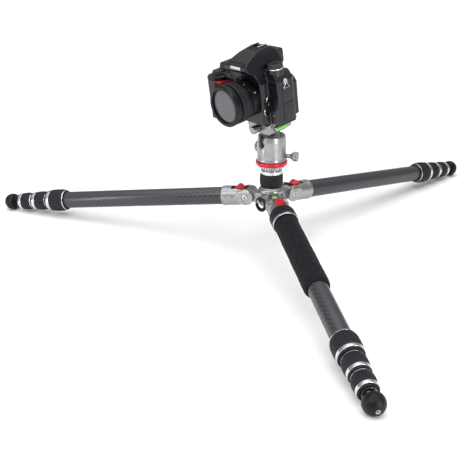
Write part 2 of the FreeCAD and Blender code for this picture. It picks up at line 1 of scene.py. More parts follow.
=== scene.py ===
# %% [markdown]
# # A stills camera on a ball head and a four-section carbon tripod
# The real object is an assembly: machined and cast light alloy, carbon tubes, moulded rubber, foam,
# steel screws and a camera of black plastic, rubber and glass. The engineering model is loaded first as a
# fixed frame. It says where each piece is and what turns on what, and every finished piece rides on it.

import json
import math

import bmesh
import bpy
import numpy as np
from mathutils import Matrix, Vector


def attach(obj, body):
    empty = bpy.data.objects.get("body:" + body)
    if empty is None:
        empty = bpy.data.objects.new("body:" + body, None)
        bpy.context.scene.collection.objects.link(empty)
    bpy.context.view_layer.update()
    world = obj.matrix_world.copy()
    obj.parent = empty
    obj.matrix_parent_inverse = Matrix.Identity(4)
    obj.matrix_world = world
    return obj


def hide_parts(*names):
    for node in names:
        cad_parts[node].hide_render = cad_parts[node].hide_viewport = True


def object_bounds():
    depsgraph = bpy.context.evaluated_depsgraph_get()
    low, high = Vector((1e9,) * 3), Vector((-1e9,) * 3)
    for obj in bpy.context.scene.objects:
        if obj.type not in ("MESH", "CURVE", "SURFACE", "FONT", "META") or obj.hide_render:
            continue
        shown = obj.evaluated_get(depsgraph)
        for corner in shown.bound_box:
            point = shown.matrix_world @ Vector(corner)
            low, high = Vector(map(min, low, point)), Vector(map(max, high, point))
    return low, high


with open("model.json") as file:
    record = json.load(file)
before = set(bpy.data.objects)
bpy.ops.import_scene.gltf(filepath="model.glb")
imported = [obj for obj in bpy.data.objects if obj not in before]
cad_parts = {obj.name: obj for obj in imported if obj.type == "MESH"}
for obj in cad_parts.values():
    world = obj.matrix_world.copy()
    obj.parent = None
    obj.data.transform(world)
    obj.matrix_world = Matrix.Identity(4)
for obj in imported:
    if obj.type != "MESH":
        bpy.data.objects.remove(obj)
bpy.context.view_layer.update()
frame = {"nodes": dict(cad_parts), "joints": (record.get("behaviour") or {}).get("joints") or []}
joints = {joint["name"]: joint for joint in frame["joints"]}

# %% [markdown]
# ## Places
# A leg, the ball head and the camera each lie at their own tilt. Building them in the world's axes would mean
# trigonometry in every line. Instead each assembly gets its own axes, read from its joints, and its pieces
# are made in millimetres in those axes. The object's matrix then puts the mesh in its place.

# %% axes of the assemblies
MM = 0.001


def axes(origin, x, y):
    """A matrix from an assembly's own axes, in metres, to the row's. Z completes the right-handed set."""
    x, y = Vector(x).normalized(), Vector(y).normalized()
    z = x.cross(y)
    turn = Matrix((x, y, z)).transposed().to_4x4()
    return Matrix.Translation(Vector(origin)) @ turn


def leg_axes(side):
    """The leg's pivot is the origin, X runs down the leg and Y is the pivot bolt."""
    fold = joints[f"{side}_leg_fold"]
    return axes(fold["pos_m"], joints[f"{side}_section_2_slide"]["axis"], fold["axis"])


SIDES = ("front", "right", "left")
LEG = {side: leg_axes(side) for side in SIDES}
across = -Vector(joints["mirror_flip"]["axis"])
backward = -Vector(joints["focus_ring_turn"]["axis"])
FOCUS_PLANE = 34.0
CAMERA = axes(Vector(joints["focus_ring_turn"]["pos_m"]) + backward * FOCUS_PLANE * MM, across, backward)
BALL = axes(joints["ball_tilt"]["pos_m"], across, backward)
COLUMN = Matrix.Identity(4)


def spoke(angle, height):
    """X points away from the column at that angle, from that height in mm."""
    return Matrix.Translation((0, 0, height * MM)) @ Matrix.Rotation(math.radians(angle), 4, "Z")


def at(place, x=0.0, y=0.0, z=0.0):
    """A place moved along its own axes, in mm."""
    return place @ Matrix.Translation((x * MM, y * MM, z * MM))


TO_X = Matrix.Identity(4)
TO_Y = Matrix.Rotation(math.radians(90), 4, "Z")
TO_MINUS_Y = Matrix.Rotation(math.radians(-90), 4, "Z")
TO_Z = Matrix.Rotation(math.radians(-90), 4, "Y")
print("camera origin", [round(v, 4) for v in CAMERA.translation])

# %% [markdown]
# ## Colours and nodes
# Colours are written as the sRGB hex values that a paint chart or a picker shows. The renderer works in
# linear light, so one function converts them. A material is a short list of nodes, so one more function adds
# a node, sets its sockets and links what feeds it.

# %% colour and node helpers
GAMMA_KNEE = 0.04045


def linear(code, alpha=1.0):
    """An sRGB hex colour such as 'C0C2C4' as linear RGBA."""
    out = []
    for i in (0, 2, 4):
        v = int(code[i:i + 2], 16) / 255
        out.append(v / 12.92 if v <= GAMMA_KNEE else ((v + 0.055) / 1.055) ** 2.4)
    return (*out, alpha)


def add(tree, kind, sockets=None, **settings):
    """Adds a node. A socket's value is set, or linked if it is another node's output."""
    made = tree.nodes.new("ShaderNode" + kind)
    for name, value in settings.items():
        setattr(made, name, value)
    for name, value in (sockets or {}).items():
        if isinstance(value, bpy.types.NodeSocket):
            tree.links.new(value, made.inputs[name])
        else:
            made.inputs[name].default_value = value
    return made.outputs[0]


def material(name, colour, roughness, **sockets):
    """A material with its shader's constant values. Returns it with its tree, shader and object axes."""
    made = bpy.data.materials.new(name)
    made.use_nodes = True
    tree = made.node_tree
    shader = tree.nodes["Principled BSDF"]
    shader.inputs["Base Color"].default_value = linear(colour)
    shader.inputs["Roughness"].default_value = roughness
    for socket, value in sockets.items():
        shader.inputs[socket.replace("_", " ")].default_value = value
    coords = tree.nodes.new("ShaderNodeTexCoord").outputs["Object"]
    made.diffuse_color = linear(colour)
    return made, tree, shader, coords


def per_mm(size):
    """The texture scale that gives features of that size in mm, as object axes are in metres."""
    return 1 / (size * MM)


def relief(tree, shader, height, depth, strength):
    """Bump of that depth in mm."""
    bump = add(tree, "Bump", {"Height": height, "Distance": depth * MM, "Strength": strength})
    tree.links.new(bump, shader.inputs["Normal"])


def blend(tree, factor, first, second):
    """A colour between two hex colours."""
    mix = tree.nodes.new("ShaderNodeMix")
    mix.data_type = "RGBA"
    tree.links.new(factor, mix.inputs["Factor"])
    mix.inputs[6].default_value = linear(first)
    mix.inputs[7].default_value = linear(second)
    return mix.outputs[2]


def finish(name, colour, roughness, drift=None, patches=None, tooth=None, **sockets):
    """A whole finish. Sizes and depths are in mm.

    drift (low, high, size) is how the roughness wanders, as handling and casting leave it, patches
    (hex, hex, size) how the colour does, and tooth (size, depth, strength) is the grain of the skin.
    """
    made, tree, shader, coords = material(name, colour, roughness, **sockets)

    def noise(size, detail=3.0):
        return add(tree, "TexNoise", {"Vector": coords, "Scale": per_mm(size), "Detail": detail})

    if patches:
        first, second, size = patches
        factor = add(tree, "MapRange", {"Value": noise(size), "From Min": 0.35, "From Max": 0.65})
        tree.links.new(blend(tree, factor, first, second), shader.inputs["Base Color"])
    if drift:
        low, high, size = drift
        rough = add(tree, "MapRange", {"Value": noise(size), "To Min": low, "To Max": high})
        tree.links.new(rough, shader.inputs["Roughness"])
    if tooth:
        size, depth, *strength = tooth
        relief(tree, shader, noise(size, 2.0), depth, *(strength or [0.6]))
    return made


print("helpers ready; mid grey 808080 is linear", round(linear("808080")[0], 4))

# %% [markdown]
# ## Finishes
# Each finish is one that a maker would name. **Cast magnesium** for the leg shoulders and the spider comes out
# of a die, is bead-blasted and clear-coated: a pale satin grey with a fine tooth. **Turned aluminium** for the
# ball housing, rings and knobs is smoother, with a faint lathe pattern. Both are metals, so their colour is the
# reflection's colour. The real bead-blast tooth is about 0.1 mm and would not show, so it is drawn at 0.7 mm.

# %% light alloys and steel
cast = finish("cast_magnesium_blasted", "A2A3A4", 0.34, (0.28, 0.42, 3.0), ("9A9B9C", "AAABAC", 5.0),
              (0.7, 0.05), Metallic=0.95)
turned_alloy = finish("turned_aluminium_satin", "9C9D9F", 0.3, (0.27, 0.36, 4.0), ("959698", "A1A2A4", 12.0),
                      (0.5, 0.008), Metallic=1.0)
ring_alloy = finish("anodised_aluminium_ring", "D2D3D5", 0.24, (0.16, 0.28, 1.5), None, (0.5, 0.008), Metallic=1.0)
steel = finish("polished_stainless_steel", "BDBEC0", 0.16, (0.1, 0.24, 2.0), Metallic=1.0)
hook_steel = finish("black_spring_steel_and_notch_shade", "202225", 0.34, (0.28, 0.44, 2.0), Metallic=0.6)
red = finish("red_anodised_aluminium", "C8101E", 0.32, None, ("B80E1B", "D81524", 4.0), (0.6, 0.02),
             Metallic=0.55, Coat_Weight=0.4, Coat_Roughness=0.2)
print("alloys:", cast.name, turned_alloy.name, ring_alloy.name, steel.name, red.name)

# %% [markdown]
# **Carbon tube** is cloth woven from flat tows of black fibre, set in clear resin and polished. In a 2 x 2
# twill each tow passes over two and under two, one step along from its neighbour, which makes the diagonal
# ribs. Tows that run round the tube and along it catch the light differently, and the resin adds one smooth
# gloss over both. The pattern is worked out from the angle round the tube and the distance along it, so it
# wraps without a seam. Real tows are 2 mm wide; they are drawn at 2.6 mm so that they show.

# %% carbon twill
TOW = 2.6


def carbon(name, radius):
    """The twill for a tube of that radius in mm, with a whole number of tows round it."""
    made, tree, shader, coords = material(name, "24262A", 0.4, Coat_Weight=0.2, Coat_Roughness=0.16)
    split = tree.nodes.new("ShaderNodeSeparateXYZ")
    tree.links.new(coords, split.inputs[0])
    along, side, up = split.outputs
    angle = add(tree, "Math", {0: up, 1: side}, operation="ARCTAN2")
    tows = 4 * round(2 * math.pi * radius / TOW / 4)
    round_tow = add(tree, "Math", {0: angle, 1: tows / (2 * math.pi)}, operation="MULTIPLY")
    long_tow = add(tree, "Math", {0: along, 1: per_mm(TOW)}, operation="MULTIPLY")
    steps = [add(tree, "Math", {0: v}, operation="FLOOR") for v in (round_tow, long_tow)]
    diagonal = add(tree, "Math", {0: steps[0], 1: steps[1]}, operation="ADD")
    phase = add(tree, "Math", {0: diagonal, 1: 4.0}, operation="FLOORED_MODULO")
    over = add(tree, "Math", {0: phase, 1: 2.0}, operation="LESS_THAN")
    crowns = []
    for v in (round_tow, long_tow):
        turn = add(tree, "Math", {0: v, 1: 2 * math.pi}, operation="MULTIPLY")
        crowns.append(add(tree, "Math", {0: turn}, operation="COSINE"))
    swell = add(tree, "MapRange", {"Value": over, "To Min": crowns[0], "To Max": crowns[1]})
    tree.links.new(blend(tree, over, "26282B", "33353A"), shader.inputs["Base Color"])
    tree.links.new(add(tree, "MapRange", {"Value": over, "To Min": 0.3, "To Max": 0.46}),
                   shader.inputs["Roughness"])
    relief(tree, shader, swell, 0.05, 0.35)
    return made


TUBE_RADIUS = (16.0, 14.2, 12.4, 10.6)
carbon_tubes = [carbon(f"carbon_twill_{2 * r:.0f}_mm_tube", r) for r in TUBE_RADIUS]
print("carbon twills:", [m.name for m in carbon_tubes])

# %% [markdown]
# **Rubber, foam and plastic** are not metals: their colour is their own, and light only glances off the top.
# The twist locks wear a blue-black moulded rubber. The feet are natural rubber, a little shinier where they
# are handled. The grip is closed-cell foam with fine open pores in its skin. The camera's shell is
# glass-filled polycarbonate with a fine spark-eroded texture, and its grips are calendered rubber with a
# leather grain of about 1 mm.

# %% rubbers, foam and plastics
lock_rubber = finish("lock_rubber_moulded", "0D1017", 0.55, (0.48, 0.66, 4.0), None, (0.8, 0.04),
                     Specular_IOR_Level=0.34)
foot_rubber = finish("foot_rubber_natural", "08090B", 0.5, (0.36, 0.56, 6.0), None, (1.2, 0.05),
                     Specular_IOR_Level=0.25)
foam = finish("closed_cell_foam", "16171A", 0.95, None, ("131417", "1B1C20", 9.0), Sheen_Weight=0.03,
              Sheen_Roughness=0.5, Specular_IOR_Level=0.15)
shell_black = finish("polycarbonate_black_eroded", "0A0D12", 0.3, (0.22, 0.38, 5.0), None, (0.9, 0.04, 0.5))
grip_rubber = finish("grip_rubber_leather_grain", "11141A", 0.5)
for cellular, size, depth, strength, far in ((foam, 1.1, 0.2, 0.5, 0.5), (grip_rubber, 1.3, 0.25, 0.6, 1.0)):
    tree = cellular.node_tree
    coords = next(n for n in tree.nodes if n.type == "TEX_COORD").outputs["Object"]
    cells = add(tree, "TexVoronoi", {"Vector": coords, "Scale": per_mm(size)})
    if far < 1:
        cells = add(tree, "MapRange", {"Value": cells, "From Max": far})
    relief(tree, tree.nodes["Principled BSDF"], cells, depth, strength)
lens_black = finish("anodised_black_barrel", "07090D", 0.34, (0.28, 0.42, 3.0), Specular_IOR_Level=0.26)
gloss_black = finish("gloss_black_window", "0C0D0F", 0.08, (0.05, 0.14, 8.0))
front_glass = finish("coated_filter_glass", "36353C", 0.14, None, ("312F37", "3E3D44", 40.0), Coat_Weight=0.6,
                     Coat_Roughness=0.03)
# The level fluid is given a faint green emission: a painted glow, since the fluid is no lamp.
glowing_level_fluid = finish("level_fluid_green_painted_glow", "5FE000", 0.14, None, ("52D600", "70EE18", 6.0), Coat_Weight=1.0,
                     Emission_Color=linear("4FD000"), Emission_Strength=0.12)
index_white = finish("index_paint_white", "C4C5C6", 0.5, (0.44, 0.56, 2.0))
index_gold = finish("index_paint_gold", "B58A3C", 0.45, (0.4, 0.52, 2.0))
accent_red = finish("accent_rubber_red", "D01622", 0.42, (0.36, 0.5, 3.0))
mirror_silver = finish("front_silvered_mirror", "D8D9DB", 0.03, (0.02, 0.05, 2.0), Metallic=1.0)
sensor_glass = finish("sensor_cover_glass", "20323A", 0.08, (0.06, 0.12, 2.0))
print("materials so far:", len(bpy.data.materials))

# %% [markdown]
# ## Ways of making a piece
# Most of this object is turned on a lathe or moulded round an axis, so the main tool is an outline of
# (distance along the axis, radius) swept round X. A Screw modifier would do that too, but here the radius may
# also depend on the angle, which is how ribs, knurls, flutes and hexagon sockets are cut. Corners are
# rounded in the outline before it is swept, because no real moulded or turned edge is perfectly sharp.

# %% mesh helpers
SHARP = math.radians(38)


def finish_mesh(name, mesh, place, body, replaced=()):
    """Shades a mesh, puts it in its place and says which body it rides on and which CAD nodes it stands for."""
    piece = bpy.data.objects.new(name, mesh)
    bpy.context.scene.collection.objects.link(piece)
    mesh.shade_smooth()
    mesh.set_sharp_from_angle(angle=SHARP)
    piece.matrix_world = place
    bpy.context.view_layer.update()
    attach(piece, body)
    if replaced:
        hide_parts(*replaced)
    return piece


def rounded(outline, radius, steps=3, closed=True):
    """The outline with each corner swept round in a few short steps. A third value sets a corner's own radius."""
    points = []
    total = len(outline)
    for i, corner in enumerate(outline):
        reach = corner[2] if len(corner) > 2 else radius
        here = np.array(corner[:2], float)
        if reach <= 0 or (not closed and i in (0, total - 1)) or here[1] <= 0:
            points.append(tuple(here))
            continue
        before = np.array(outline[i - 1][:2], float)
        after = np.array(outline[(i + 1) % total][:2], float)
        ends = []
        for other in (before, after):
            length = np.linalg.norm(other - here)
            ends.append(here + (other - here) * min(reach, 0.45 * length) / max(length, 1e-6))
        for step in range(steps + 1):
            t = step / steps
            points.append(tuple((1 - t) ** 2 * ends[0] + 2 * t * (1 - t) * here + t * t * ends[1]))
    return points


def swept(name, outline, steps=96, shape=None):
    """The mesh of an outline of (distance along X, radius) in mm, closed and swept round X."""
    profile = np.array(outline, float)
    count = len(profile)
    angle = np.arange(steps) * 2 * np.pi / steps
    x = np.repeat(profile[:, 0][None], steps, 0)
    r = np.repeat(profile[:, 1][None], steps, 0)
    a = np.repeat(angle[:, None], count, 1)
    if shape:
        x, r = shape(x, r, a)
    points = np.stack([x, r * np.cos(a), r * np.sin(a)], -1).reshape(-1, 3) * MM
    faces = []
    for i in range(steps):
        j = (i + 1) % steps
        for k in range(count):
            m = (k + 1) % count
            if profile[k, 1] > 0 or profile[m, 1] > 0:
                faces.append((i * count + k, i * count + m, j * count + m, j * count + k))
    mesh = bpy.data.meshes.new(name)
    mesh.from_pydata(points.tolist(), [], faces)
    tidy = bmesh.new()
    tidy.from_mesh(mesh)
    bmesh.ops.remove_doubles(tidy, verts=tidy.verts, dist=1e-7)
    bmesh.ops.recalc_face_normals(tidy, faces=tidy.faces)
    tidy.to_mesh(mesh)
    tidy.free()
    return mesh


def coat(mesh, base, *bands):
    """Gives the mesh its base material, and other materials to the faces between two distances along X.

    A band may also state the least and the greatest distance from the axis.
    """
    mesh.materials.append(base)
    for other, low, high, *limits in bands:
        inner, outer = (*limits, *(0, 999)[len(limits):])
        if other.name not in mesh.materials:
            mesh.materials.append(other)
        index = mesh.materials.find(other.name)
        for face in mesh.polygons:
            middle = face.center
            out = math.hypot(middle.y, middle.z)
            if low * MM <= middle.x <= high * MM and inner * MM <= out <= outer * MM:
                face.material_index = index
    return mesh


def zoned(mesh, *zones):
    """Gives faces another material where a test on their middle, in mm, is true."""
    for other, test in zones:
        if other.name not in mesh.materials:
            mesh.materials.append(other)
        index = mesh.materials.find(other.name)
        for face in mesh.polygons:
            if test(*(v / MM for v in face.center), face.normal):
                face.material_index = index
    return mesh


def painted(mesh, base):
    """A mesh with one material and no other."""
    mesh.materials.clear()
    mesh.materials.append(base)
    return mesh


def ribs(count, depth, low, high, above, width=5.0, fade=1.5):
    """Grooves along X between two distances, cut only where the radius is above a limit."""
    def shape(x, r, a):
        groove = (0.5 + 0.5 * np.cos(count * a)) ** width
        ends = np.clip((x - low) / fade, 0, 1) * np.clip((high - x) / fade, 0, 1)
        return x, r - depth * groove * ends * (r > above)
    return shape


def turned(name, outline, place, body, slot, base, *bands, steps=96, shape=None, soft=0.4, replaced=()):
    """A piece turned round X, with its corners rounded by soft mm."""
    mesh = coat(swept(name, rounded(outline, soft), steps, shape), base, *bands)
    return finish_mesh(name, mesh, place, body, replaced)


print("a 96-step ring has", len(swept("trial", rounded([(0, 4), (0, 6), (3, 6), (3, 4)], 0.4)).vertices), "points")

# %% prisms and softened castings
PLANES = {"XY": (0, 1, 2), "XZ": (0, 2, 1), "YZ": (1, 2, 0)}


def prism_mesh(name, outline, plane, low, high, edge=0.0, steps=3):
    """An outline in a plane, extruded between two heights in mm, with its long and end edges bevelled."""
    first, second, third = PLANES[plane]
    shape = bmesh.new()
    rows = []
    for height in (low, high):
        row = []
        for corner in outline:
            point = [0.0, 0.0, 0.0]
            point[first], point[second], point[third] = corner[0] * MM, corner[1] * MM, height * MM
            row.append(shape.verts.new(point))
        rows.append(row)
    total = len(outline)
    shape.faces.new(rows[0])
    shape.faces.new(rows[1][::-1])
    for i in range(total):
        j = (i + 1) % total
        shape.faces.new((rows[0][i], rows[0][j], rows[1][j], rows[1][i]))
    bmesh.ops.recalc_face_normals(shape, faces=shape.faces)
    if edge:
        keen = [e for e in shape.edges if len(e.link_faces) == 2 and e.calc_face_angle() > SHARP]
        bmesh.ops.bevel(shape, geom=keen, offset=edge * MM, segments=steps, profile=0.5, affect="EDGES",
                        clamp_overlap=True)
    mesh = bpy.data.meshes.new(name)
    shape.to_mesh(mesh)
    shape.free()
    return mesh


def rectangle(x0, x1, y0, y1):
    return [(x0, y0), (x1, y0), (x1, y1), (x0, y1)]


def prism(name, outline, plane, low, high, place, body, base, edge=0.4):
    """A prism with bevelled edges as a finished piece."""
    return finish_mesh(name, painted(prism_mesh(name, outline, plane, low, high, edge), base), place, body)


def moulded(name, nodes, place, voxel, passes, extras=()):
    """Fuses CAD nodes and extra meshes into one skin with rounded edges, in the place's own axes."""
    fused = bmesh.new()
    for node in nodes:
        part = frame["nodes"][node].data.copy()
        part.transform(place.inverted())
        fused.from_mesh(part)
        bpy.data.meshes.remove(part)
    for extra in extras:
        fused.from_mesh(extra)
    mesh = bpy.data.meshes.new(name)
    fused.to_mesh(mesh)
    fused.free()
    mesh.materials.clear()
    work = bpy.data.objects.new(name + "_work", mesh)
    bpy.context.scene.collection.objects.link(work)
    skin = work.modifiers.new("skin", "REMESH")
    skin.mode = "VOXEL"
    skin.voxel_size = voxel * MM
    relax = work.modifiers.new("relax", "SMOOTH")
    relax.factor = 0.5
    relax.iterations = passes
    done = bpy.data.meshes.new_from_object(work.evaluated_get(bpy.context.evaluated_depsgraph_get()))
    bpy.data.objects.remove(work)
    done.name = name
    done.polygons.foreach_set("material_index", [0] * len(done.polygons))
    return done


def casting(name, node, place, body, base, voxel=0.6, passes=5, extras=()):
    """A CAD node as the foundry leaves it, with its edges rounded."""
    return finish_mesh(name, painted(moulded(name, [node], place, voxel, passes, extras), base), place, body,
                       [node])


trial = prism_mesh("trial", rectangle(0, 5, 0, 5), "XY", 0, 2, 0.4)
print("prism of a square with bevelled edges:", len(trial.vertices), "points")

# %% [markdown]
# ## Twist locks
# Each leg has three. A real one is a rubber-covered nut, barrel-shaped, with grooves for the fingers that stop
# short of its ends, a thin aluminium lip towards the hip and a broad bright ring towards the foot, then a
# black step that the next lock closes against. It is one turned outline with bands of material.

# %% twist locks
LOCK_START = (379.0, 420.6, 456.0)
LOCK_END = (420.0, 455.4, 488.0)
LOCK_RADIUS = (21.5, 18.6, 17.0)
LOCK_RIBS = 24
RIB_DEPTH = 0.9
for side in SIDES:
    for number, (start, end, wide) in enumerate(zip(LOCK_START, LOCK_END, LOCK_RADIUS), start=1):
        bore = TUBE_RADIUS[number - 1] + 0.05
        grip = TUBE_RADIUS[number] + 0.05
        step = start + 0.55 * (end - start) + 0.5
        outline = [
            (start, bore, 0), (start, wide - 2.1), (start + 1.7, wide - 1.8, 0.2), (start + 2.0, wide - 2.3, 0.1),
            (start + 2.6, wide - 1.7), (start + 6, wide - 0.5, 2), (start + 11, wide, 3),
            (end - 17, wide, 3), (end - 10.4, wide - 0.8, 0.4), (end - 9.7, wide - 1.7, 0.1),
            (end - 9.2, wide - 0.95, 0.3), (end - 3.4, wide - 1.15, 0.5), (end - 3.2, wide - 2.2, 0.1),
            (end - 0.1, wide - 2.4), (end - 0.1, grip, 0), (step, grip, 0), (step, bore, 0),
        ]
        turned(
            f"{side}_twist_lock_{number}", outline, LEG[side], f"{side}_lock_{number}", "ribbed_rubber",
            lock_rubber, (ring_alloy, start - 1, start + 1.8, wide - 3),
            (ring_alloy, end - 9.6, end - 3.3, wide - 3),
            steps=LOCK_RIBS * 8, shape=ribs(LOCK_RIBS, RIB_DEPTH, start + 4, end - 11.5, wide - 2.2),
            replaced=[f"{side}_lock_{number}"],
        )
print("twist locks:", len(LOCK_START) * len(SIDES))

# %% [markdown]
# ## Tubes and feet
# The tubes telescope, so each is a plain turned ring that reaches up inside the one before it. The last ends
# in a bright steel stud. The foot is a rubber mushroom: a domed tread, a soft rim and a steel-lined hole at
# the apex where a spike would screw in.

# %% tubes
WALL = 1.5
TUBE_START = (28.5, 50.0, 52.0, 54.0)
STUD = 3.5
for side in SIDES:
    for number, (radius, start) in enumerate(zip(TUBE_RADIUS, TUBE_START), start=1):
        body = f"{side}_leg" if number == 1 else f"{side}_section_{number}"
        if number < 4:
            end = LOCK_START[number - 1] + 0.55 * (LOCK_END[number - 1] - LOCK_START[number - 1])
            outline = [(start, radius - WALL), (start, radius), (end, radius), (end, radius - WALL)]
            bands = ()
        else:
            end = LOCK_END[2] + 1
            outline = [(start, radius - WALL), (start, radius), (end, radius), (end, STUD + 1.4),
                       (end + 0.2, STUD + 1.4, 0.1), (end + 3.4, STUD + 1.2), (end + 3.6, STUD, 0.1),
                       (end + 10, STUD), (end + 10, 0), (end - 8, 0), (end - 8, radius - WALL)]
            bands = ((steel, end - 0.1, end + 11),)
        turned(f"{side}_carbon_tube_{number}", outline, LEG[side], body, "carbon_tube",
               carbon_tubes[number - 1], *bands, soft=0.25, replaced=[f"{side}_tube_{number}"])
print("tubes: outside diameters", [2 * r for r in TUBE_RADIUS], "mm")

# %% feet
FOOT_CENTRE = 506.0
FOOT_RADIUS = 16.0
dome = []
for degrees in range(118, 6, -7):
    a = math.radians(degrees)
    dome.append((FOOT_CENTRE + FOOT_RADIUS * math.cos(a), FOOT_RADIUS * math.sin(a), 0))
HOLE = 2.2
for side in SIDES:
    outline = [(494.6, STUD, 0), (494.6, 8.4), (497.5, 10.6), (498.3, 13.0), *dome,
               (FOOT_CENTRE + FOOT_RADIUS - 0.5, HOLE + 0.7, 0.3), (FOOT_CENTRE + FOOT_RADIUS - 0.8, HOLE, 0.2),
               (FOOT_CENTRE + FOOT_RADIUS - 4, HOLE), (FOOT_CENTRE + FOOT_RADIUS - 4, 0), (499, 0), (499, STUD, 0)]
    turned(f"{side}_rubber_foot", outline, LEG[side], f"{side}_section_4", "foot_rubber", foot_rubber,
           (steel, FOOT_CENTRE + FOOT_RADIUS - 4.5, FOOT_CENTRE + FOOT_RADIUS - 0.3, 0, HOLE + 0.9), soft=0.6,
           replaced=[f"{side}_foot"])
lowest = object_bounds()[0][2]
print("feet stand at", round(lowest * 1000, 3), "mm")

# %% [markdown]
# ## Foam grip and its collar
# The front leg unscrews to serve as a monopod, so it wears a foam sleeve and a knurled collar. The sleeve is
# a firm moulded tube of foam stretched over the carbon, so it is not slack like a cushion: it keeps its
# round section, its ends roll under, and its skin is slightly uneven. It is made as a swept outline with a
# low swell worked out from sines, so it comes out the same every time.

# %% foam grip
GRIP_START, GRIP_END, GRIP_RADIUS = 65.6, 258.0, 20.7


def hand_worn(x, r, a):
    """A fraction of a millimetre of swell, as foam takes from its mould and from hands."""
    swell = 0.16 * np.sin(x * 0.11 + 2 * a) + 0.1 * np.sin(x * 0.37 - 3 * a + 1) + 0.05 * np.sin(x * 1.1 + 5 * a)
    return x, r + swell * (r > GRIP_RADIUS - 2.5)


lengthwise = [(x, GRIP_RADIUS, 0) for x in np.arange(GRIP_START + 6, GRIP_END - 8, 3.0)]
outline = [(GRIP_START, 16.02, 0), (GRIP_START, GRIP_RADIUS - 1.6, 1.2),
           (GRIP_START + 3.5, GRIP_RADIUS - 0.2, 1.5),
           *lengthwise, (GRIP_END - 6, GRIP_RADIUS - 0.2, 1.5), (GRIP_END - 1.5, GRIP_RADIUS - 2.0, 1.5),
           (GRIP_END - 0.1, 17.6, 0.8), (GRIP_END - 0.1, 16.02, 0)]
sleeve = turned("foam_sleeve", outline, LEG["front"], "front_leg", "foam", foam, steps=128, shape=hand_worn,
                replaced=["foam_grip"])
COLLAR_RIBS = 36
outline = [(35.1, 18.3, 0), (35.1, 21.6), (37.0, 22.9), (59.2, 22.9), (59.6, 22.2, 0.1), (60.0, 22.5, 0.2),
           (63.6, 22.2), (64.9, 21.6), (64.9, 16.05, 0), (46.4, 16.05, 0), (46.4, 18.3, 0)]
turned("monopod_collar", outline, LEG["front"], "grip_collar", "ribbed_rubber", lock_rubber,
       (ring_alloy, 59.8, 64.4, 21), steps=COLLAR_RIBS * 8, shape=ribs(COLLAR_RIBS, 0.8, 36.4, 59.2, 21, 3.0),
       replaced=["grip_collar"])
print("foam sleeve", round(GRIP_END - GRIP_START), "mm long,", 2 * GRIP_RADIUS, "mm across")

# %% [markdown]
# ## Hip joints
# Each leg's shoulder is a die casting that ends in a fork round a lug of the hub. The engineering model has
# its true shape but knife edges. A casting never has those, so the mesh is re-skinned with small voxels, which
# fuses it with its end band, and then relaxed a little, which rounds every edge by about a millimetre.

# %% shoulders
BAND_START, BAND_END, BAND_RADIUS = 38.4, 46.0, 18.4
for side in SIDES:
    band = swept("band", rounded([(BAND_START, 16.05, 0), (BAND_START, BAND_RADIUS), (BAND_END, BAND_RADIUS),
                                  (BAND_END, 16.05, 0)], 0.6), 96)
    bands = [] if side == "front" else [band]
    shoulder = casting(f"{side}_shoulder_casting", f"{side}_shoulder", LEG[side], f"{side}_leg",
                       cast, voxel=0.55, passes=4, extras=bands)
print("shoulder casting:", len(shoulder.data.polygons), "faces")

# %% [markdown]
# The red catch slides out to free the leg's angle stops. It is a milled block of anodised aluminium with a
# thumb tab, and fine ridges on the tab for grip. The hinge bolts are steel with hexagon sockets at both ends.

# %% catches and bolts
def joined(name, meshes):
    """Several meshes as one. Their materials are kept."""
    both = bmesh.new()
    finishes = []
    for part in meshes:
        start = len(both.faces)
        both.from_mesh(part)
        both.faces.ensure_lookup_table()
        for face in both.faces[start:]:
            own = part.materials[face.material_index] if part.materials else None
            if own is not None:
                if own not in finishes:
                    finishes.append(own)
                face.material_index = finishes.index(own)
    mesh = bpy.data.meshes.new(name)
    both.to_mesh(mesh)
    both.free()
    mesh.materials.clear()
    for own in finishes:
        mesh.materials.append(own)
    return mesh


CATCH = [(4, 12), (15.5, 12), (15.5, 9.4), (22, 9.4), (22, 14), (13.2, 21), (10.6, 20.6), (5.5, 15.8), (4, 15)]
HALF_CATCH = 7.5
for side in SIDES:
    parts = [painted(prism_mesh("catch", CATCH, "XZ", -HALF_CATCH, HALF_CATCH, 0.7), red)]
    for step in range(5):
        x, z = 14.0 + 1.45 * step, 20.36 - 1.15 * step
        ridge = [(x, z), (x + 0.5, z + 0.55), (x + 0.95, z + 0.2), (x + 0.9, z - 0.7)]
        parts.append(painted(prism_mesh("ridge", ridge, "XZ", -6.2, 6.2, 0.12, 1), red))
    finish_mesh(f"{side}_red_catch", joined("catch", parts), LEG[side], f"{side}_catch",
                [f"{side}_angle_catch"])

KEY = 2.6


def hexagon(x, r, a):
    """Points of the socket's wall go in to a hexagon."""
    flat = KEY * math.cos(math.pi / 6) / np.cos((a % (math.pi / 3)) - math.pi / 6)
    return x, np.where((r > 2) & (r < 2.8), flat, r)


half = [(15.8, 0), (15.8, KEY, 0), (17.75, KEY, 0), (17.9, 3.1, 0.1), (18.1, 4.9), (17.6, 6.0), (15.6, 6.0),
        (15.6, 4.0)]
outline = [(-x, *rest) for x, *rest in half] + half[::-1]
for side in SIDES:
    turned(f"{side}_hinge_bolt", outline, LEG[side] @ TO_Y, "root", "steel", steel, steps=72, shape=hexagon,
           soft=0.3, replaced=["leg_pivot_bolts"])
    small = [(0, 0), (0, 0.9, 0), (1.0, 0.9, 0), (1.05, 1.2, 0), (1.1, 1.5), (0.2, 1.6), (-0.8, 1.6), (-0.8, 0)]
    turned(f"{side}_stop_screw", small, at(LEG[side], 24, 17.2, 3) @ TO_Y, f"{side}_leg", "hook_steel",
           hook_steel, steps=36, soft=0.1)
print("catches, hinge bolts and stop screws:", 3 * len(SIDES))

# %% [markdown]
# ## Hub, level and hook
# The hub (tripod makers call it the spider) is one casting round the column, with a bright turned bearing
# ring pressed over its top. It carries a small round bubble level and a spring-gate ring for hanging a bag.
# The ring is bent spring wire: a round bar for most of its way, with the gate wound as a coil, which a tube
# swept round a circle gives if its radius varies.

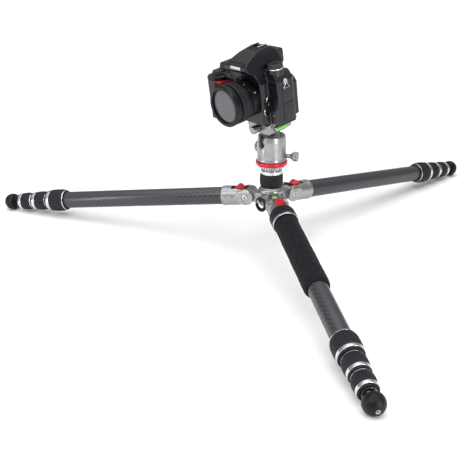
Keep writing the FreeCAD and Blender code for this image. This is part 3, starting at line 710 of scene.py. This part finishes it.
# %% hub and level
casting("hub_casting", "spider", COLUMN, "root", cast, voxel=0.6, passes=4)
outline = [(96.9, 14.2, 0), (96.9, 20.4), (98.2, 22.6, 2), (102, 23.6, 3), (105.8, 22.2, 2), (107.6, 19.8),
           (108.9, 19.0), (108.9, 14.2, 0)]
turned("hub_bearing_ring", outline, COLUMN @ TO_Z, "root", "cast_magnesium", turned_alloy, steps=128, soft=0.8)
LEVEL_SEAT, LEVEL_RADIUS = 92.9, 6.5
outline = [(LEVEL_SEAT, 0), (LEVEL_SEAT, LEVEL_RADIUS), (LEVEL_SEAT + 3.4, LEVEL_RADIUS),
           (LEVEL_SEAT + 3.4, LEVEL_RADIUS - 1.1), (LEVEL_SEAT + 3.0, LEVEL_RADIUS - 1.2, 0.1),
           (LEVEL_SEAT + 3.4, 3.4, 1.0), (LEVEL_SEAT + 3.6, 1.6, 0.4), (LEVEL_SEAT + 3.6, 0)]
turned("hub_bubble_level", outline, at(COLUMN, 0, -26, 0) @ TO_Z, "root", "level_green", ring_alloy,
       (glowing_level_fluid, 95.8, 97, 0, LEVEL_RADIUS - 1.25), steps=72, soft=0.3, replaced=["spider_level"])

# %% gear hook
def wire_ring(name, reach, wire, turns=288, sides=16):
    """A tube round a circle in the YZ plane. wire(angle) is its radius in mm."""
    points, faces = [], []
    for i in range(turns):
        t = 2 * math.pi * i / turns
        thick = wire(math.degrees(t))
        for k in range(sides):
            s = 2 * math.pi * k / sides
            out = reach + thick * math.cos(s)
            points.append((thick * math.sin(s) * MM, out * math.cos(t) * MM, out * math.sin(t) * MM))
            j, m = (i + 1) % turns, (k + 1) % sides
            faces.append((i * sides + k, j * sides + k, j * sides + m, i * sides + m))
    mesh = bpy.data.meshes.new(name)
    mesh.from_pydata(points, [], faces)
    return mesh


def spring_wire(degrees):
    """Bar, knuckle, coil, knuckle: how thick the hook is at each angle."""
    if 195 < degrees < 325:
        return 2.9 + 0.45 * math.cos(math.radians((degrees - 195) * 36))
    if 188 < degrees <= 195 or 325 <= degrees < 332:
        return 3.2
    return 2.5


hook_centre = 79.55
hook = painted(wire_ring("hook", 10.5, spring_wire), hook_steel)
finish_mesh("spring_gate_hook", hook, at(spoke(210, hook_centre), 25.5), "gear_hook", ["gear_hook"])
print("hub, level and hook made")

# %% [markdown]
# ## Column and its collar
# The column slides in the hub and the collar grips it. The collar is made as the leg locks are: a ribbed
# rubber barrel with a bright lip. What can be seen of the column is turned aluminium.

# %% column
COLUMN_RIBS = 30
outline = [(109.5, 14.05, 0), (109.5, 18.4), (111.5, 19.8, 1), (114.5, 20.7, 2), (129, 20.7, 2), (132.6, 19.7),
           (133.2, 18.6, 0.1), (133.8, 19.5, 0.4), (138.9, 19.1, 0.6), (139.9, 18.2, 0.4), (139.9, 14.05, 0)]
turned("column_lock", outline, COLUMN @ TO_Z, "column_collar", "ribbed_rubber", lock_rubber,
       (ring_alloy, 133.4, 141, 15), steps=COLUMN_RIBS * 8, shape=ribs(COLUMN_RIBS, 0.9, 111.6, 131.5, 17.5),
       replaced=["column_collar"])
painted(frame["nodes"]["centre_column"].data, turned_alloy)

# %% [markdown]
# ## Ball head
# From below: a base with a notched skirt, a red anodised ring, and the housing that turns on it for panning.
# The housing holds the ball, and a U-shaped notch in its rim lets the stem drop level. The housing is turned
# and milled, so its skin is finer than the castings' and its edges are tighter.

# %% base, red ring and housing
NOTCHES = 32


def notched(x, r, a):
    """Shallow saw cuts up the skirt, for the degree scale."""
    cuts = (0.5 + 0.5 * np.cos(NOTCHES * a)) ** 6
    here = (x > 145.4) & (x < 149.95) & (r > 22)
    return x, r - 1.2 * cuts * here


outline = [(143.05, 0), (143.05, 19.6), (144.2, 20.0), (145.2, 22.9), (145.9, 23.2, 0.2), (149.4, 23.9, 0.2),
           (150, 23.9), (150, 20.0, 0), (157.4, 20.0), (157.4, 10), (168, 10), (168, 0)]
base = turned("notched_base", outline, COLUMN @ TO_Z, "column", "cast_magnesium", ring_alloy, steps=NOTCHES * 8,
              shape=notched, replaced=["head_base"])
# The floors of the notches, deeper than 0.75 mm, get the black steel finish: painted shade in the cuts.
zoned(base.data, (hook_steel, lambda x, y, z, n: 145.4 < x < 149.9
                  and 21.0 < math.hypot(y, z) < 23.25 + 0.14 * (x - 145.9) - 0.75))
outline = [(150.05, 20.05, 0), (150.05, 27.1), (151.4, 28.2), (156.4, 28.2), (157.75, 27.1), (157.75, 20.05, 0)]
turned("red_pan_ring", outline, COLUMN @ TO_Z, "column", "red_anodised", red, steps=128, soft=0.7,
       replaced=["pan_ring"])
casting("ball_housing_shell", "ball_housing", COLUMN, "pan_head", turned_alloy, voxel=0.6,
        passes=4)


def curved_pad(name, radius, angle, half_angle, low, high, lift, corner):
    """A thin plate with rounded corners, wrapped on a cylinder about Z."""
    across = radius * math.radians(half_angle)
    tall = (high - low) / 2
    flat = []
    for turn_, (sx, sy) in enumerate(((1, 1), (-1, 1), (-1, -1), (1, -1))):
        for step in range(5):
            a = math.radians(90 * turn_ + 22.5 * step)
            flat.append((sx * (across - corner) + corner * math.cos(a),
                         sy * (tall - corner) + corner * math.sin(a)))
    mesh = prism_mesh(name, flat, "XY", -0.5, lift, 0.25, 2)
    work = bmesh.new()
    work.from_mesh(mesh)
    for cut_at in np.linspace(-across, across, 12)[1:-1]:
        bmesh.ops.bisect_plane(work, geom=[*work.verts, *work.edges, *work.faces], plane_co=(cut_at * MM, 0, 0),
                               plane_no=(1, 0, 0))
    middle = (low + high) / 2
    for v in work.verts:
        around = math.radians(angle) + v.co.x / (radius * MM)
        out = radius * MM + v.co.z
        v.co = (out * math.cos(around), out * math.sin(around), v.co.y + middle * MM)
    bmesh.ops.recalc_face_normals(work, faces=work.faces)
    work.to_mesh(mesh)
    work.free()
    return mesh


pad = painted(curved_pad("pad", 25.55, 214, 17, 162, 181.5, 0.35, 1.2), turned_alloy)
finish_mesh("housing_pad", pad, COLUMN, "pan_head")

# %% knobs
outline = [(20.5, 0), (20.5, 3, 0), (27.8, 3, 0), (27.8, 7), (29.6, 8), (32.6, 12.4), (34.6, 13.1), (42, 13.1),
           (44, 11.6), (44, 4.4), (43.6, 4.0, 0.2), (43.6, 0)]
turned("main_lock_knob", outline, spoke(105, 171.5), "main_knob", "cast_magnesium", turned_alloy, steps=192,
       shape=ribs(14, 1.2, 33.5, 44.0, 10, 1.5, 1.0), soft=0.7, replaced=["main_knob"])
outline = [(14, 0), (14, 2.5, 0), (26.3, 2.5, 0), (26.3, 4.4), (30.6, 3.5, 1.5), (34.6, 4.1, 1.5), (38.6, 8.0),
           (40.0, 8.6), (45.8, 8.6), (47.5, 7.4), (47.5, 3.2), (47.1, 2.8, 0.2), (47.1, 0)]
turned("pan_lock_knob", outline, spoke(335, 166), "pan_knob", "cast_magnesium", turned_alloy, steps=160,
       shape=ribs(8, 1.5, 36.5, 47.6, 6.5, 1.5, 1.0), soft=0.7, replaced=["pan_knob"])

# %% ball, stem and clamp
BALL_RADIUS = 19.0
ball_line = [(BALL_RADIUS * math.cos(math.radians(a)), BALL_RADIUS * math.sin(math.radians(a)), 0)
             for a in range(180, 20, -5)]
outline = [*ball_line, (18.6, 6.6, 1.0), (22, 6.2, 1.5), (26.4, 7.0, 0.3), (26.4, 3.5, 0), (31.4, 3.5), (31.4, 0)]
turned("satin_ball_and_stem", outline, BALL @ TO_Z, "ball", "steel", turned_alloy, replaced=["ball_stem"])
for name, node, body in (("clamp_bed", "clamp_body", "clamp"), ("clamp_moving_jaw", "clamp_jaw", "clamp_jaw")):
    casting(name, node, BALL, body, turned_alloy, voxel=0.5, passes=2)
painted(frame["nodes"]["quick_plate"].data, turned_alloy)
KNURLS = 28
outline = [(-9, 0), (-9, 2, 0), (27.3, 2, 0), (27.3, 5.4), (29, 6.95), (40.9, 6.95), (42, 5.8), (42, 2.2),
           (41.5, 1.8, 0.1), (41.5, 0)]
turned("clamp_screw_knob", outline, at(BALL, 0, 0, 34.6) @ TO_MINUS_Y, "clamp_knob", "cast_magnesium",
       turned_alloy, steps=KNURLS * 8, shape=ribs(KNURLS, 0.5, 28.8, 41.2, 6, 2.0), replaced=["clamp_knob"])
VIAL = 3.6
outline = [(-14, 0), (-14, VIAL), (-12.4, VIAL), (-12.2, VIAL - 0.35, 0.1), (-3.7, VIAL - 0.35, 0.1),
           (-3.5, VIAL, 0.1), (-2.3, VIAL, 0.1), (-2.1, VIAL - 0.35, 0.1), (6.2, VIAL - 0.35, 0.1),
           (6.4, VIAL), (8, VIAL), (8, 0)]
turned("clamp_vial", outline, at(BALL, 28.8, 0, 33.3) @ TO_Y, "clamp", "level_green", ring_alloy,
       (glowing_level_fluid, -12.3, -3.6, 1), (glowing_level_fluid, -2.2, 6.3, 1), steps=64, soft=0.5, replaced=["clamp_level"])
print("ball head made")
# %% [markdown]
# ## Camera shell
# A stills camera's shell is a magnesium casting with a crackle finish, and rubber is glued over it where it is
# held. The engineering model has its planes but hard edges. The body is re-skinned with small voxels and
# relaxed, so each edge is rounded by about a millimetre, then faces are given rubber or paint by where they are:
# grip rubber at both ends, a black steel plate in the flash shoe with bright steel only on the upward faces of
# its rails, which is a painted highlight on their tops, and a red wedge on the inner side of the handgrip.

# %% camera body
SHOE_FLOOR = 77.2


def held_by_the_right_hand(x, y, z, normal):
    return x < -49 and y < 40 and z < 18


def held_by_the_left_hand(x, y, z, normal):
    return x > 50 and y > 22 and z < 22 and normal.x > 0.3


def red_inlay(x, y, z, normal):
    """A wedge of red rubber let into the inner side of the handgrip, which tapers towards the mount."""
    upper = 21.5 - 0.12 * (y + 10)
    lower = max(17.2 + 0.08 * (y + 10), 17.2 - 1.2 * (y + 16))
    return -65 < x < -44 and y < 10 and lower < z < upper


def plate(name, outline, plane, low, high, base, edge=0.4, body="camera"):
    """A small prism on the camera."""
    return prism(name, outline, plane, low, high, CAMERA, body, base, edge)


def knob(name, outline, place, base, *bands, body="camera", slot="camera_black", **how):
    """A small turned piece on the camera."""
    return turned(name, outline, place, body, slot, base, *bands, **how)


skin = moulded("camera_shell", ["camera_body"], CAMERA, 0.75, 5)
zoned(painted(skin, shell_black), (grip_rubber, held_by_the_right_hand), (grip_rubber, held_by_the_left_hand),
      # The black steel over the shoe is its own plate. Bright steel only on the upward-facing faces of the rails
      # is a painted highlight on their tops.
      (hook_steel, lambda x, y, z, n: z > SHOE_FLOOR and abs(x) < 11.5),
      (steel, lambda x, y, z, n: z > SHOE_FLOOR and 7.2 < abs(x) < 11.5 and n.z > 0.8),
      (accent_red, red_inlay))
finish_mesh("camera_shell", skin, CAMERA, "camera", ["camera_body"])
print("camera shell:", len(skin.polygons), "faces,", len(skin.materials), "finishes")

# %% [markdown]
# The flash head closes flush with the front of the prism hump. Where a maker's name would be there is only a
# blank plate of satin grey.

# %% flash head and blank plate
casting("flash_head_shell", "popup_flash", CAMERA, "popup_flash", shell_black, voxel=0.6, passes=4)
NAME_PLATE = [(-12, 54.4), (-11.3, 53.8), (11.3, 53.8), (12, 54.4), (12, 57.9), (11.3, 58.5), (-11.3, 58.5),
              (-12, 57.9)]
plate("blank_name_plate", NAME_PLATE, "XZ", -21.15, -20.2, index_white, 0.25, body="popup_flash")
lamp_window = [(-12.5, 60.6), (12.5, 60.6), (11, 62.2), (-11, 62.2)]
plate("flash_window", lamp_window, "XZ", -18.2, -15.4, gloss_black, 0.2, body="popup_flash")

# %% [markdown]
# ## Controls
# Dials are turned like the tripod's rings, with a knurl for the thumb that is 0.5 to 0.8 mm deep. A known
# fault is left here: the wheel under the thumb and its joint turn about the camera's upright axis, but
# rear_thumb_dial is swept about the front-to-back one, so it cuts the shell as it turns. TO_Z should replace TO_Y.

# %% dials and buttons
KNURL = 48
outline = [(-6, 0), (-6, 2.9, 0), (0.3, 2.9, 0), (0.3, 13.9), (2.3, 13.9, 0.2), (2.6, 13.2, 0.1), (3.2, 13.6, 0.2),
           (8.6, 13.6, 0.5), (9.6, 12.6), (9.9, 8.8), (9.7, 8.4, 0.1), (9.7, 0)]
turned("release_mode_dial", outline, at(CAMERA, 40, 30, 46) @ TO_Z, "release_dial", "camera_black", shell_black,
       (ring_alloy, 0.5, 2.45, 12.8), steps=KNURL * 6, shape=ribs(KNURL, 0.5, 3.0, 8.8, 12.5, 1.5, 0.6),
       replaced=["release_dial"])
for number, angle in enumerate((35, 155, 275), start=1):
    out = 4.9
    x, y = 40 + out * math.cos(math.radians(angle)), 30 + out * math.sin(math.radians(angle))
    outline = [(0, 0), (0, 3.3), (0.9, 3.3), (1.3, 2.6), (1.2, 1.6), (1.1, 0)]
    turned(f"dial_button_{number}", outline, at(CAMERA, x, y, 55.6) @ TO_Z, "release_dial", "camera_black",
           gloss_black, steps=48, soft=0.3)
outline = [(0, 0), (0, 4.9, 0), (5.2, 4.9), (5.8, 4.3), (5.55, 2.8, 0.8), (5.45, 0)]
turned("shutter_release", outline, at(CAMERA, -68, 4, 30.2) @ TO_Z, "shutter_button", "camera_black",
       gloss_black, steps=64, soft=0.5, replaced=["shutter_button"])
outline = [(33.9, 5.2, 0), (33.9, 8.4), (34.9, 8.6), (36.6, 7.9), (36.9, 6.9), (36.3, 5.2, 0)]
knob("power_switch_collar", outline, at(CAMERA, -68, 4, 0) @ TO_Z, shell_black, steps=144, shape=ribs(24, 0.35,
     34.3, 36.6, 7, 1.5, 0.5), soft=0.3)
outline = [(-6, 0), (-6, 5.0), (-5.2, 6.8), (5.2, 6.8), (6, 5.0), (6, 0)]
turned("front_command_dial", outline, at(CAMERA, -68, -14.5, 24.5) @ TO_X, "camera", "focus_rubber",
       shell_black, steps=160, shape=ribs(20, 0.8, -5.4, 5.4, 5.6, 1.2, 0.5), soft=0.3)
outline = [(0, 0), (0, 10.4, 0), (0, 10.9), (5.2, 10.9), (5.9, 10.2), (5.9, 0)]
turned("rear_thumb_dial", outline, at(CAMERA, -62, 58.05, 16) @ TO_Y, "rear_command_dial", "focus_rubber",
       shell_black, steps=240, shape=ribs(30, 0.7, 0.6, 5.6, 9.5, 1.2, 0.5), soft=0.3,
       replaced=["rear_command_dial"])
LEDGE, TOP_PLATE = 34.0, 42.0
window = [(-77, 20), (-76, 19), (-39, 19), (-38, 20), (-38, 41), (-39, 42), (-76, 42), (-77, 41)]
plate("top_display_window", window, "XY", TOP_PLATE - 0.6, TOP_PLATE + 0.5, gloss_black, 0.35)
for number, (x, y) in enumerate(((-45, 7), (-52, 3), (-57, 10)), start=1):
    outline = [(0, 0), (0, 2.6), (1.5, 2.6), (1.9, 2.0), (1.9, 0)]
    knob(f"top_button_{number}", outline, at(CAMERA, x, y, LEDGE - 0.4) @ TO_Z, gloss_black, steps=40, soft=0.4)
print("dials and buttons made")

# %% [markdown]
# ## Left flank
# Beside the lens are the lens release, the focus lever and two round socket caps; behind them rubber flaps
# cover the ports, and a triangular ring hangs from the strap lug. The ring is bent wire swept round a
# triangle, and its lug is a small pressed steel eye.

# %% left flank
FLANK = 35.2
for name, (y, z, wide, proud) in {"socket_cap_upper": (13, -2, 4.2, 2.2), "socket_cap_lower": (14, -15, 4.2, 2.2),
                                  "lens_release_button": (6, -22, 5.4, 3.0)}.items():
    outline = [(-1, 0), (-1, wide + 0.6), (0.7, wide + 0.6, 0.2), (0.9, wide, 0.1), (proud, wide),
               (proud, 1.4, 0.4),
               (proud - 0.4, 0)]
    knob(name, outline, at(CAMERA, FLANK, y, z) @ TO_X, gloss_black, (ring_alloy, 0.5, 1.05, wide - 0.2),
         steps=64, soft=0.3)
lever = [(-3, -13), (3, -13), (3.4, -4), (2.4, 3.2), (-2.4, 3.2), (-3.4, -4)]
plate("focus_lever", [(y + 6, z - 6) for y, z in lever], "YZ", FLANK - 0.6, FLANK + 2.6, lens_black, 0.5)
plate("focus_lever_mark", rectangle(5.4, 6.6, -4.6, -2.2), "YZ", FLANK + 2.2, FLANK + 2.7, index_white, 0.1)
prism("flank_gold_mark", rectangle(13.2, 15.0, -31.9, -30.1), "XZ", 12.9, 14.3, at(CAMERA, 29), "camera",
      index_gold, 0.2)
for name, (z0, z1) in {"port_flap_upper": (-9, 18), "port_flap_lower": (-40, -10)}.items():
    flap = [(24.5, z0 + 1.5), (26, z0), (45.5, z0), (47, z0 + 1.5), (47, z1 - 1.5), (45.5, z1), (26, z1),
            (24.5, z1 - 1.5)]
    plate(name, flap, "YZ", 57.4, 58.9, grip_rubber, 0.6)
lug = [(-4, -4.5), (4, -4.5), (4, 2), (2.4, 4.6), (-2.4, 4.6), (-4, 2)]
for side, x, out in (("left", 56.8, 1), ("right", -86.8, -1)):
    low, high = sorted((x, x + 2.2 * out))
    plate(f"{side}_strap_lug", [(y + 33, z + 27) for y, z in lug], "YZ", low, high, steel, 0.4)
print("left flank made")


# %% strap rings
def bent_wire(name, corners, wire, place, sides=12):
    """A closed wire bent round corners given in the YZ plane, swept as short straight runs with rounded bends."""
    path = rounded(corners, 2.0, 5)
    count = len(path)
    points, faces = [], []
    for i in range(count):
        before, here, after = (Vector((0, *path[(i + k) % count])) for k in (-1, 0, 1))
        along = (after - before).normalized()
        out = along.cross(Vector((1, 0, 0)))
        for k in range(sides):
            s = 2 * math.pi * k / sides
            point = here + wire * (math.cos(s) * out + math.sin(s) * Vector((1, 0, 0)))
            points.append(tuple(v * MM for v in point))
            j, m = (i + 1) % count, (k + 1) % sides
            faces.append((i * sides + k, j * sides + k, j * sides + m, i * sides + m))
    mesh = bpy.data.meshes.new(name)
    mesh.from_pydata(points, [], faces)
    mesh.materials.append(steel)
    return finish_mesh(name, mesh, place, "camera")


TRIANGLE = [(0, 5.2), (-7.0, -3.8), (7.0, -3.8)]
for side, x in (("left", 60.2), ("right", -90.2)):
    bent_wire(f"{side}_strap_ring", TRIANGLE, 0.85, at(CAMERA, x, 33, 20.0))
print("strap rings made")

# %% [markdown]
# ## Back
# A rubber-edged door plate with a large glass display, a column of buttons at its left, a thumb pad and an
# eyecup round the finder. Fine seams part the pieces.

# %% back
back = moulded("camera_back_skin", ["camera_back"], CAMERA, 0.7, 3)
zoned(painted(back, shell_black), (grip_rubber, lambda x, y, z, n: x < -46 and z < 8 and y > 62))
finish_mesh("camera_back_plate", back, CAMERA, "camera", ["camera_back"])
BACK = 67.0
frame_outline = [(-34, -36), (-32, -38), (33, -38), (35, -36), (35, 14), (33, 16), (-32, 16), (-34, 14)]
plate("display_frame", frame_outline, "XZ", BACK - 0.6, BACK + 1.2, lens_black, 0.5)
plate("display_glass", rectangle(-31, 32, -34.5, 12.5), "XZ", BACK + 0.8, BACK + 1.6, gloss_black, 0.3)
button_line = [(0, 0), (0, 2.9), (1.8, 2.9), (2.3, 2.1), (2.2, 0)]
for number, z in enumerate((8, -2, -12, -22, -32), start=1):
    knob(f"back_button_{number}", button_line, at(CAMERA, 41.5, BACK - 0.5, z) @ TO_Y, gloss_black, steps=40,
         soft=0.4)
outline = [(-0.5, 0), (-0.5, 9.5), (1.4, 9.4), (2.0, 8.4), (1.5, 6.2, 1.5), (2.4, 2.8), (2.4, 0)]
knob("thumb_pad", outline, at(CAMERA, -52, BACK, -8) @ TO_Y, lens_black, steps=96, soft=0.5)
knob("focus_start_button", button_line, at(CAMERA, -44, BACK - 0.5, 14) @ TO_Y, gloss_black, steps=40, soft=0.4)
EYE = [(-16, 44), (-14, 42.5), (14, 42.5), (16, 44), (16, 62), (13, 65.5), (-13, 65.5), (-16, 62)]
plate("finder_eyecup", EYE, "XZ", 71.2, 74.2, lock_rubber, 1.2)
plate("finder_window", rectangle(-10, 10, 48, 60), "XZ", 73.6, 74.6, gloss_black, 0.4)
print("back made")

# %% [markdown]
# ## Lens
# The barrel is turned and black anodised. The focus ring is rubber with fine ribs along the axis. Behind the
# front ring a flat filter glass looks grey because it reflects the white room. A steel mount ring shows as a
# thin bright line where the lens meets the body.

# %% lens barrel
barrel = [
    (-0.9, 20.05, 0), (-0.9, 21.8, 0), (-0.05, 21.8, 0), (0.1, 31), (1.8, 32.4), (17, 32.4), (17.4, 31.9, 0.1),
    (17.8, 32.5, 0.1),
    (22, 33.9), (26, 33.9), (26, 32.05, 0), (42, 32.05, 0), (42, 33), (44.2, 34.4), (46.9, 35.4),
    (49, 35.4), (49.3, 34.8, 0.1), (49.6, 35.4, 0.1), (54, 35.4), (56, 33.4), (56, 28.6, 0.3),
    (52.6, 28.55, 0.1), (52.6, 27.3, 0), (50.35, 27.3, 0), (50.35, 20.05, 0),
]
turned("lens_barrel_shell", barrel, CAMERA @ TO_MINUS_Y, "camera", "lens_black", lens_black, steps=160,
       soft=0.4, replaced=["lens_barrel"])
FOCUS_RIBS = 60
outline = [(26.35, 32.1, 0), (26.35, 34.2), (28, 35.2), (39.5, 35.2), (41.6, 34.2), (41.6, 32.1, 0)]
turned("ribbed_focus_ring", outline, CAMERA @ TO_MINUS_Y, "focus_ring", "focus_rubber", lock_rubber,
       steps=FOCUS_RIBS * 6, shape=ribs(FOCUS_RIBS, 0.7, 28.2, 39.4, 34, 2.0, 0.6), soft=0.4,
       replaced=["focus_ring"])
glasses = []
INNER_GLASS = 19.9
for face, thick, wide, dome in ((50.4, 2.0, 27.15, 0.0), (39.0, 8, INNER_GLASS, 1.6), (23, 5, INNER_GLASS, 0.9),
                                (13, 5, INNER_GLASS, 0.7), (0, 5, INNER_GLASS, 0.6)):
    dome_line = [(face + thick - dome * (r / wide) ** 2, r) for r in np.linspace(0, wide, 9)]
    glasses.append(swept("glass", [(face, 0), *dome_line, (face, wide)], 96))
for part in glasses:
    part.materials.append(front_glass)
finish_mesh("lens_glasses", joined("lens_glasses", glasses), CAMERA @ TO_MINUS_Y, "camera",
            ["lens_elements"])
print("lens: barrel, focus ring and", len(glasses), "glasses")

# %% marks and switch
RADIAL = 32.6


def on_barrel(name, angle, along, width, length, finish, lift=0.25, radius=RADIAL):
    """A small plate on the barrel, at an angle from straight up and a distance forward of the mount, in mm."""
    outline = rectangle(-width / 2, width / 2, -length / 2, length / 2)
    place = at(CAMERA @ Matrix.Rotation(math.radians(angle), 4, "Y"), 0, -along, radius)
    return prism(name, outline, "XY", -0.8, lift, place, "camera", finish, 0.12)


on_barrel("index_dot", -15, 5, 2.2, 2.2, index_white)
on_barrel("gold_distance_mark", 27, 20.0, 2.2, 1.6, index_gold, radius=33.6)
on_barrel("focus_switch_plate", 62, 11, 10, 12, lens_black, 0.9)
on_barrel("focus_switch_slide", 62, 11, 3.0, 5.5, gloss_black, 2.0)
on_barrel("focus_switch_mark", 62, 11, 1.4, 3.0, index_white, 2.3)
mount_line = [(-0.2, 22.5), (-0.2, 30.4), (0.5, 30.6), (0.5, 22.5)]
turned("mount_ring", mount_line, CAMERA @ TO_MINUS_Y, "camera", "steel", steel, steps=128, soft=0.1)
print("lens marks made")

# %% [markdown]
# ## Inner pieces
# The mirror is silvered glass and the sensor has a dark cover glass; both show when the lens is looked into.

# %% mirror and sensor
painted(frame["nodes"]["reflex_mirror"].data, mirror_silver)
painted(frame["nodes"]["image_sensor"].data, sensor_glass)

# %% [markdown]
# ## Floor, light and camera
# A plain pale floor, and a sky that is bright overhead, dim at middle height and white again at the horizon.
# The dim band is what black plastic and polished metal reflect at a glance, so it keeps the blacks black and
# gives the metal dark edges. A broad soft sun evens out the floor, a softbox lights the tops, and two narrow
# strips stand low at the sides, because an upright cylinder only mirrors what is low.

# %% sky
world = bpy.data.worlds.new("white_studio")
bpy.context.scene.world = world
world.use_nodes = True
sky = world.node_tree.nodes["Background"]
where = add(world.node_tree, "TexCoord")
split = world.node_tree.nodes.new("ShaderNodeSeparateXYZ")
world.node_tree.links.new(where, split.inputs[0])
band = world.node_tree.nodes.new("ShaderNodeValToRGB")
world.node_tree.links.new(split.outputs[2], band.inputs[0])
HORIZON, DIM, BRIGHT = 1.0, 0.32, 1.0
stops = band.color_ramp.elements
stops[0].position, stops[0].color = 0.05, (HORIZON, HORIZON, HORIZON, 1)
stops[1].position, stops[1].color = 0.85, (BRIGHT, BRIGHT, BRIGHT, 1)
for height in (0.11, 0.48):
    stop = stops.new(height)
    stop.color = (DIM, DIM, DIM, 1)
world.node_tree.links.new(band.outputs[0], sky.inputs["Color"])
sky.inputs["Strength"].default_value = 1.0
print("sky: horizon", HORIZON, "middle", DIM, "overhead", BRIGHT)

# %% stage
floor_mesh = bpy.data.meshes.new("floor")
REACH = 12.0
floor_mesh.from_pydata([(-REACH, -REACH, 0), (REACH, -REACH, 0), (REACH, REACH, 0), (-REACH, REACH, 0)],
                       [], [(0, 1, 2, 3)])
floor = bpy.data.objects.new("floor", floor_mesh)
bpy.context.scene.collection.objects.link(floor)
floor.location.z = -0.0002
floor_mesh.materials.append(finish("white_background_paper", "FFFFFF", 0.9, None, ("FBFBFB", "FFFFFF", 300.0)))


def softbox(name, where, aim, width, height, power):
    """An area light that looks at a point."""
    lamp = bpy.data.lights.new(name, "AREA")
    lamp.shape = "RECTANGLE"
    lamp.size, lamp.size_y = width, height
    lamp.energy = power
    holder = bpy.data.objects.new(name, lamp)
    holder.location = where
    holder.rotation_euler = (Vector(aim) - Vector(where)).to_track_quat("-Z", "Y").to_euler()
    bpy.context.scene.collection.objects.link(holder)


softbox("key_softbox", (-1.2, -1.0, 1.4), (0, 0, 0.15), 0.6, 0.6, 8)
softbox("strip_box", (0.52, -1.25, 0.36), (0, 0, 0.2), 0.16, 0.6, 6)
softbox("rim_strip", (-1.35, -0.25, 0.4), (0, 0, 0.2), 0.12, 0.6, 4)
overhead = bpy.data.lights.new("overhead_diffuser", "SUN")
overhead.energy = 1.25
overhead.angle = math.radians(70)
holder = bpy.data.objects.new("overhead_diffuser", overhead)
bpy.context.scene.collection.objects.link(holder)
bpy.context.scene.view_settings.view_transform = "Standard"
print("stage and lights ready")

# %% camera
FOCAL, SENSOR = 64.86, 36.0
viewer = bpy.data.cameras.new("viewer")
viewer.lens = FOCAL
viewer.sensor_width = SENSOR
viewer.sensor_fit = "HORIZONTAL"
holder = bpy.data.objects.new("viewer", viewer)
bpy.context.scene.collection.objects.link(holder)
right = Vector((0.98201, -0.18844, -0.01174))
up = Vector((0.08421, 0.38150, 0.92053))
ahead = Vector((0.16898, 0.90496, -0.39050))
turn = Matrix((right, up, -ahead)).transposed().to_4x4()
holder.matrix_world = Matrix.Translation((-0.3294, -1.3562, 0.6148)) @ turn
bpy.context.scene.camera = holder
print("camera at", [round(v, 3) for v in holder.location])
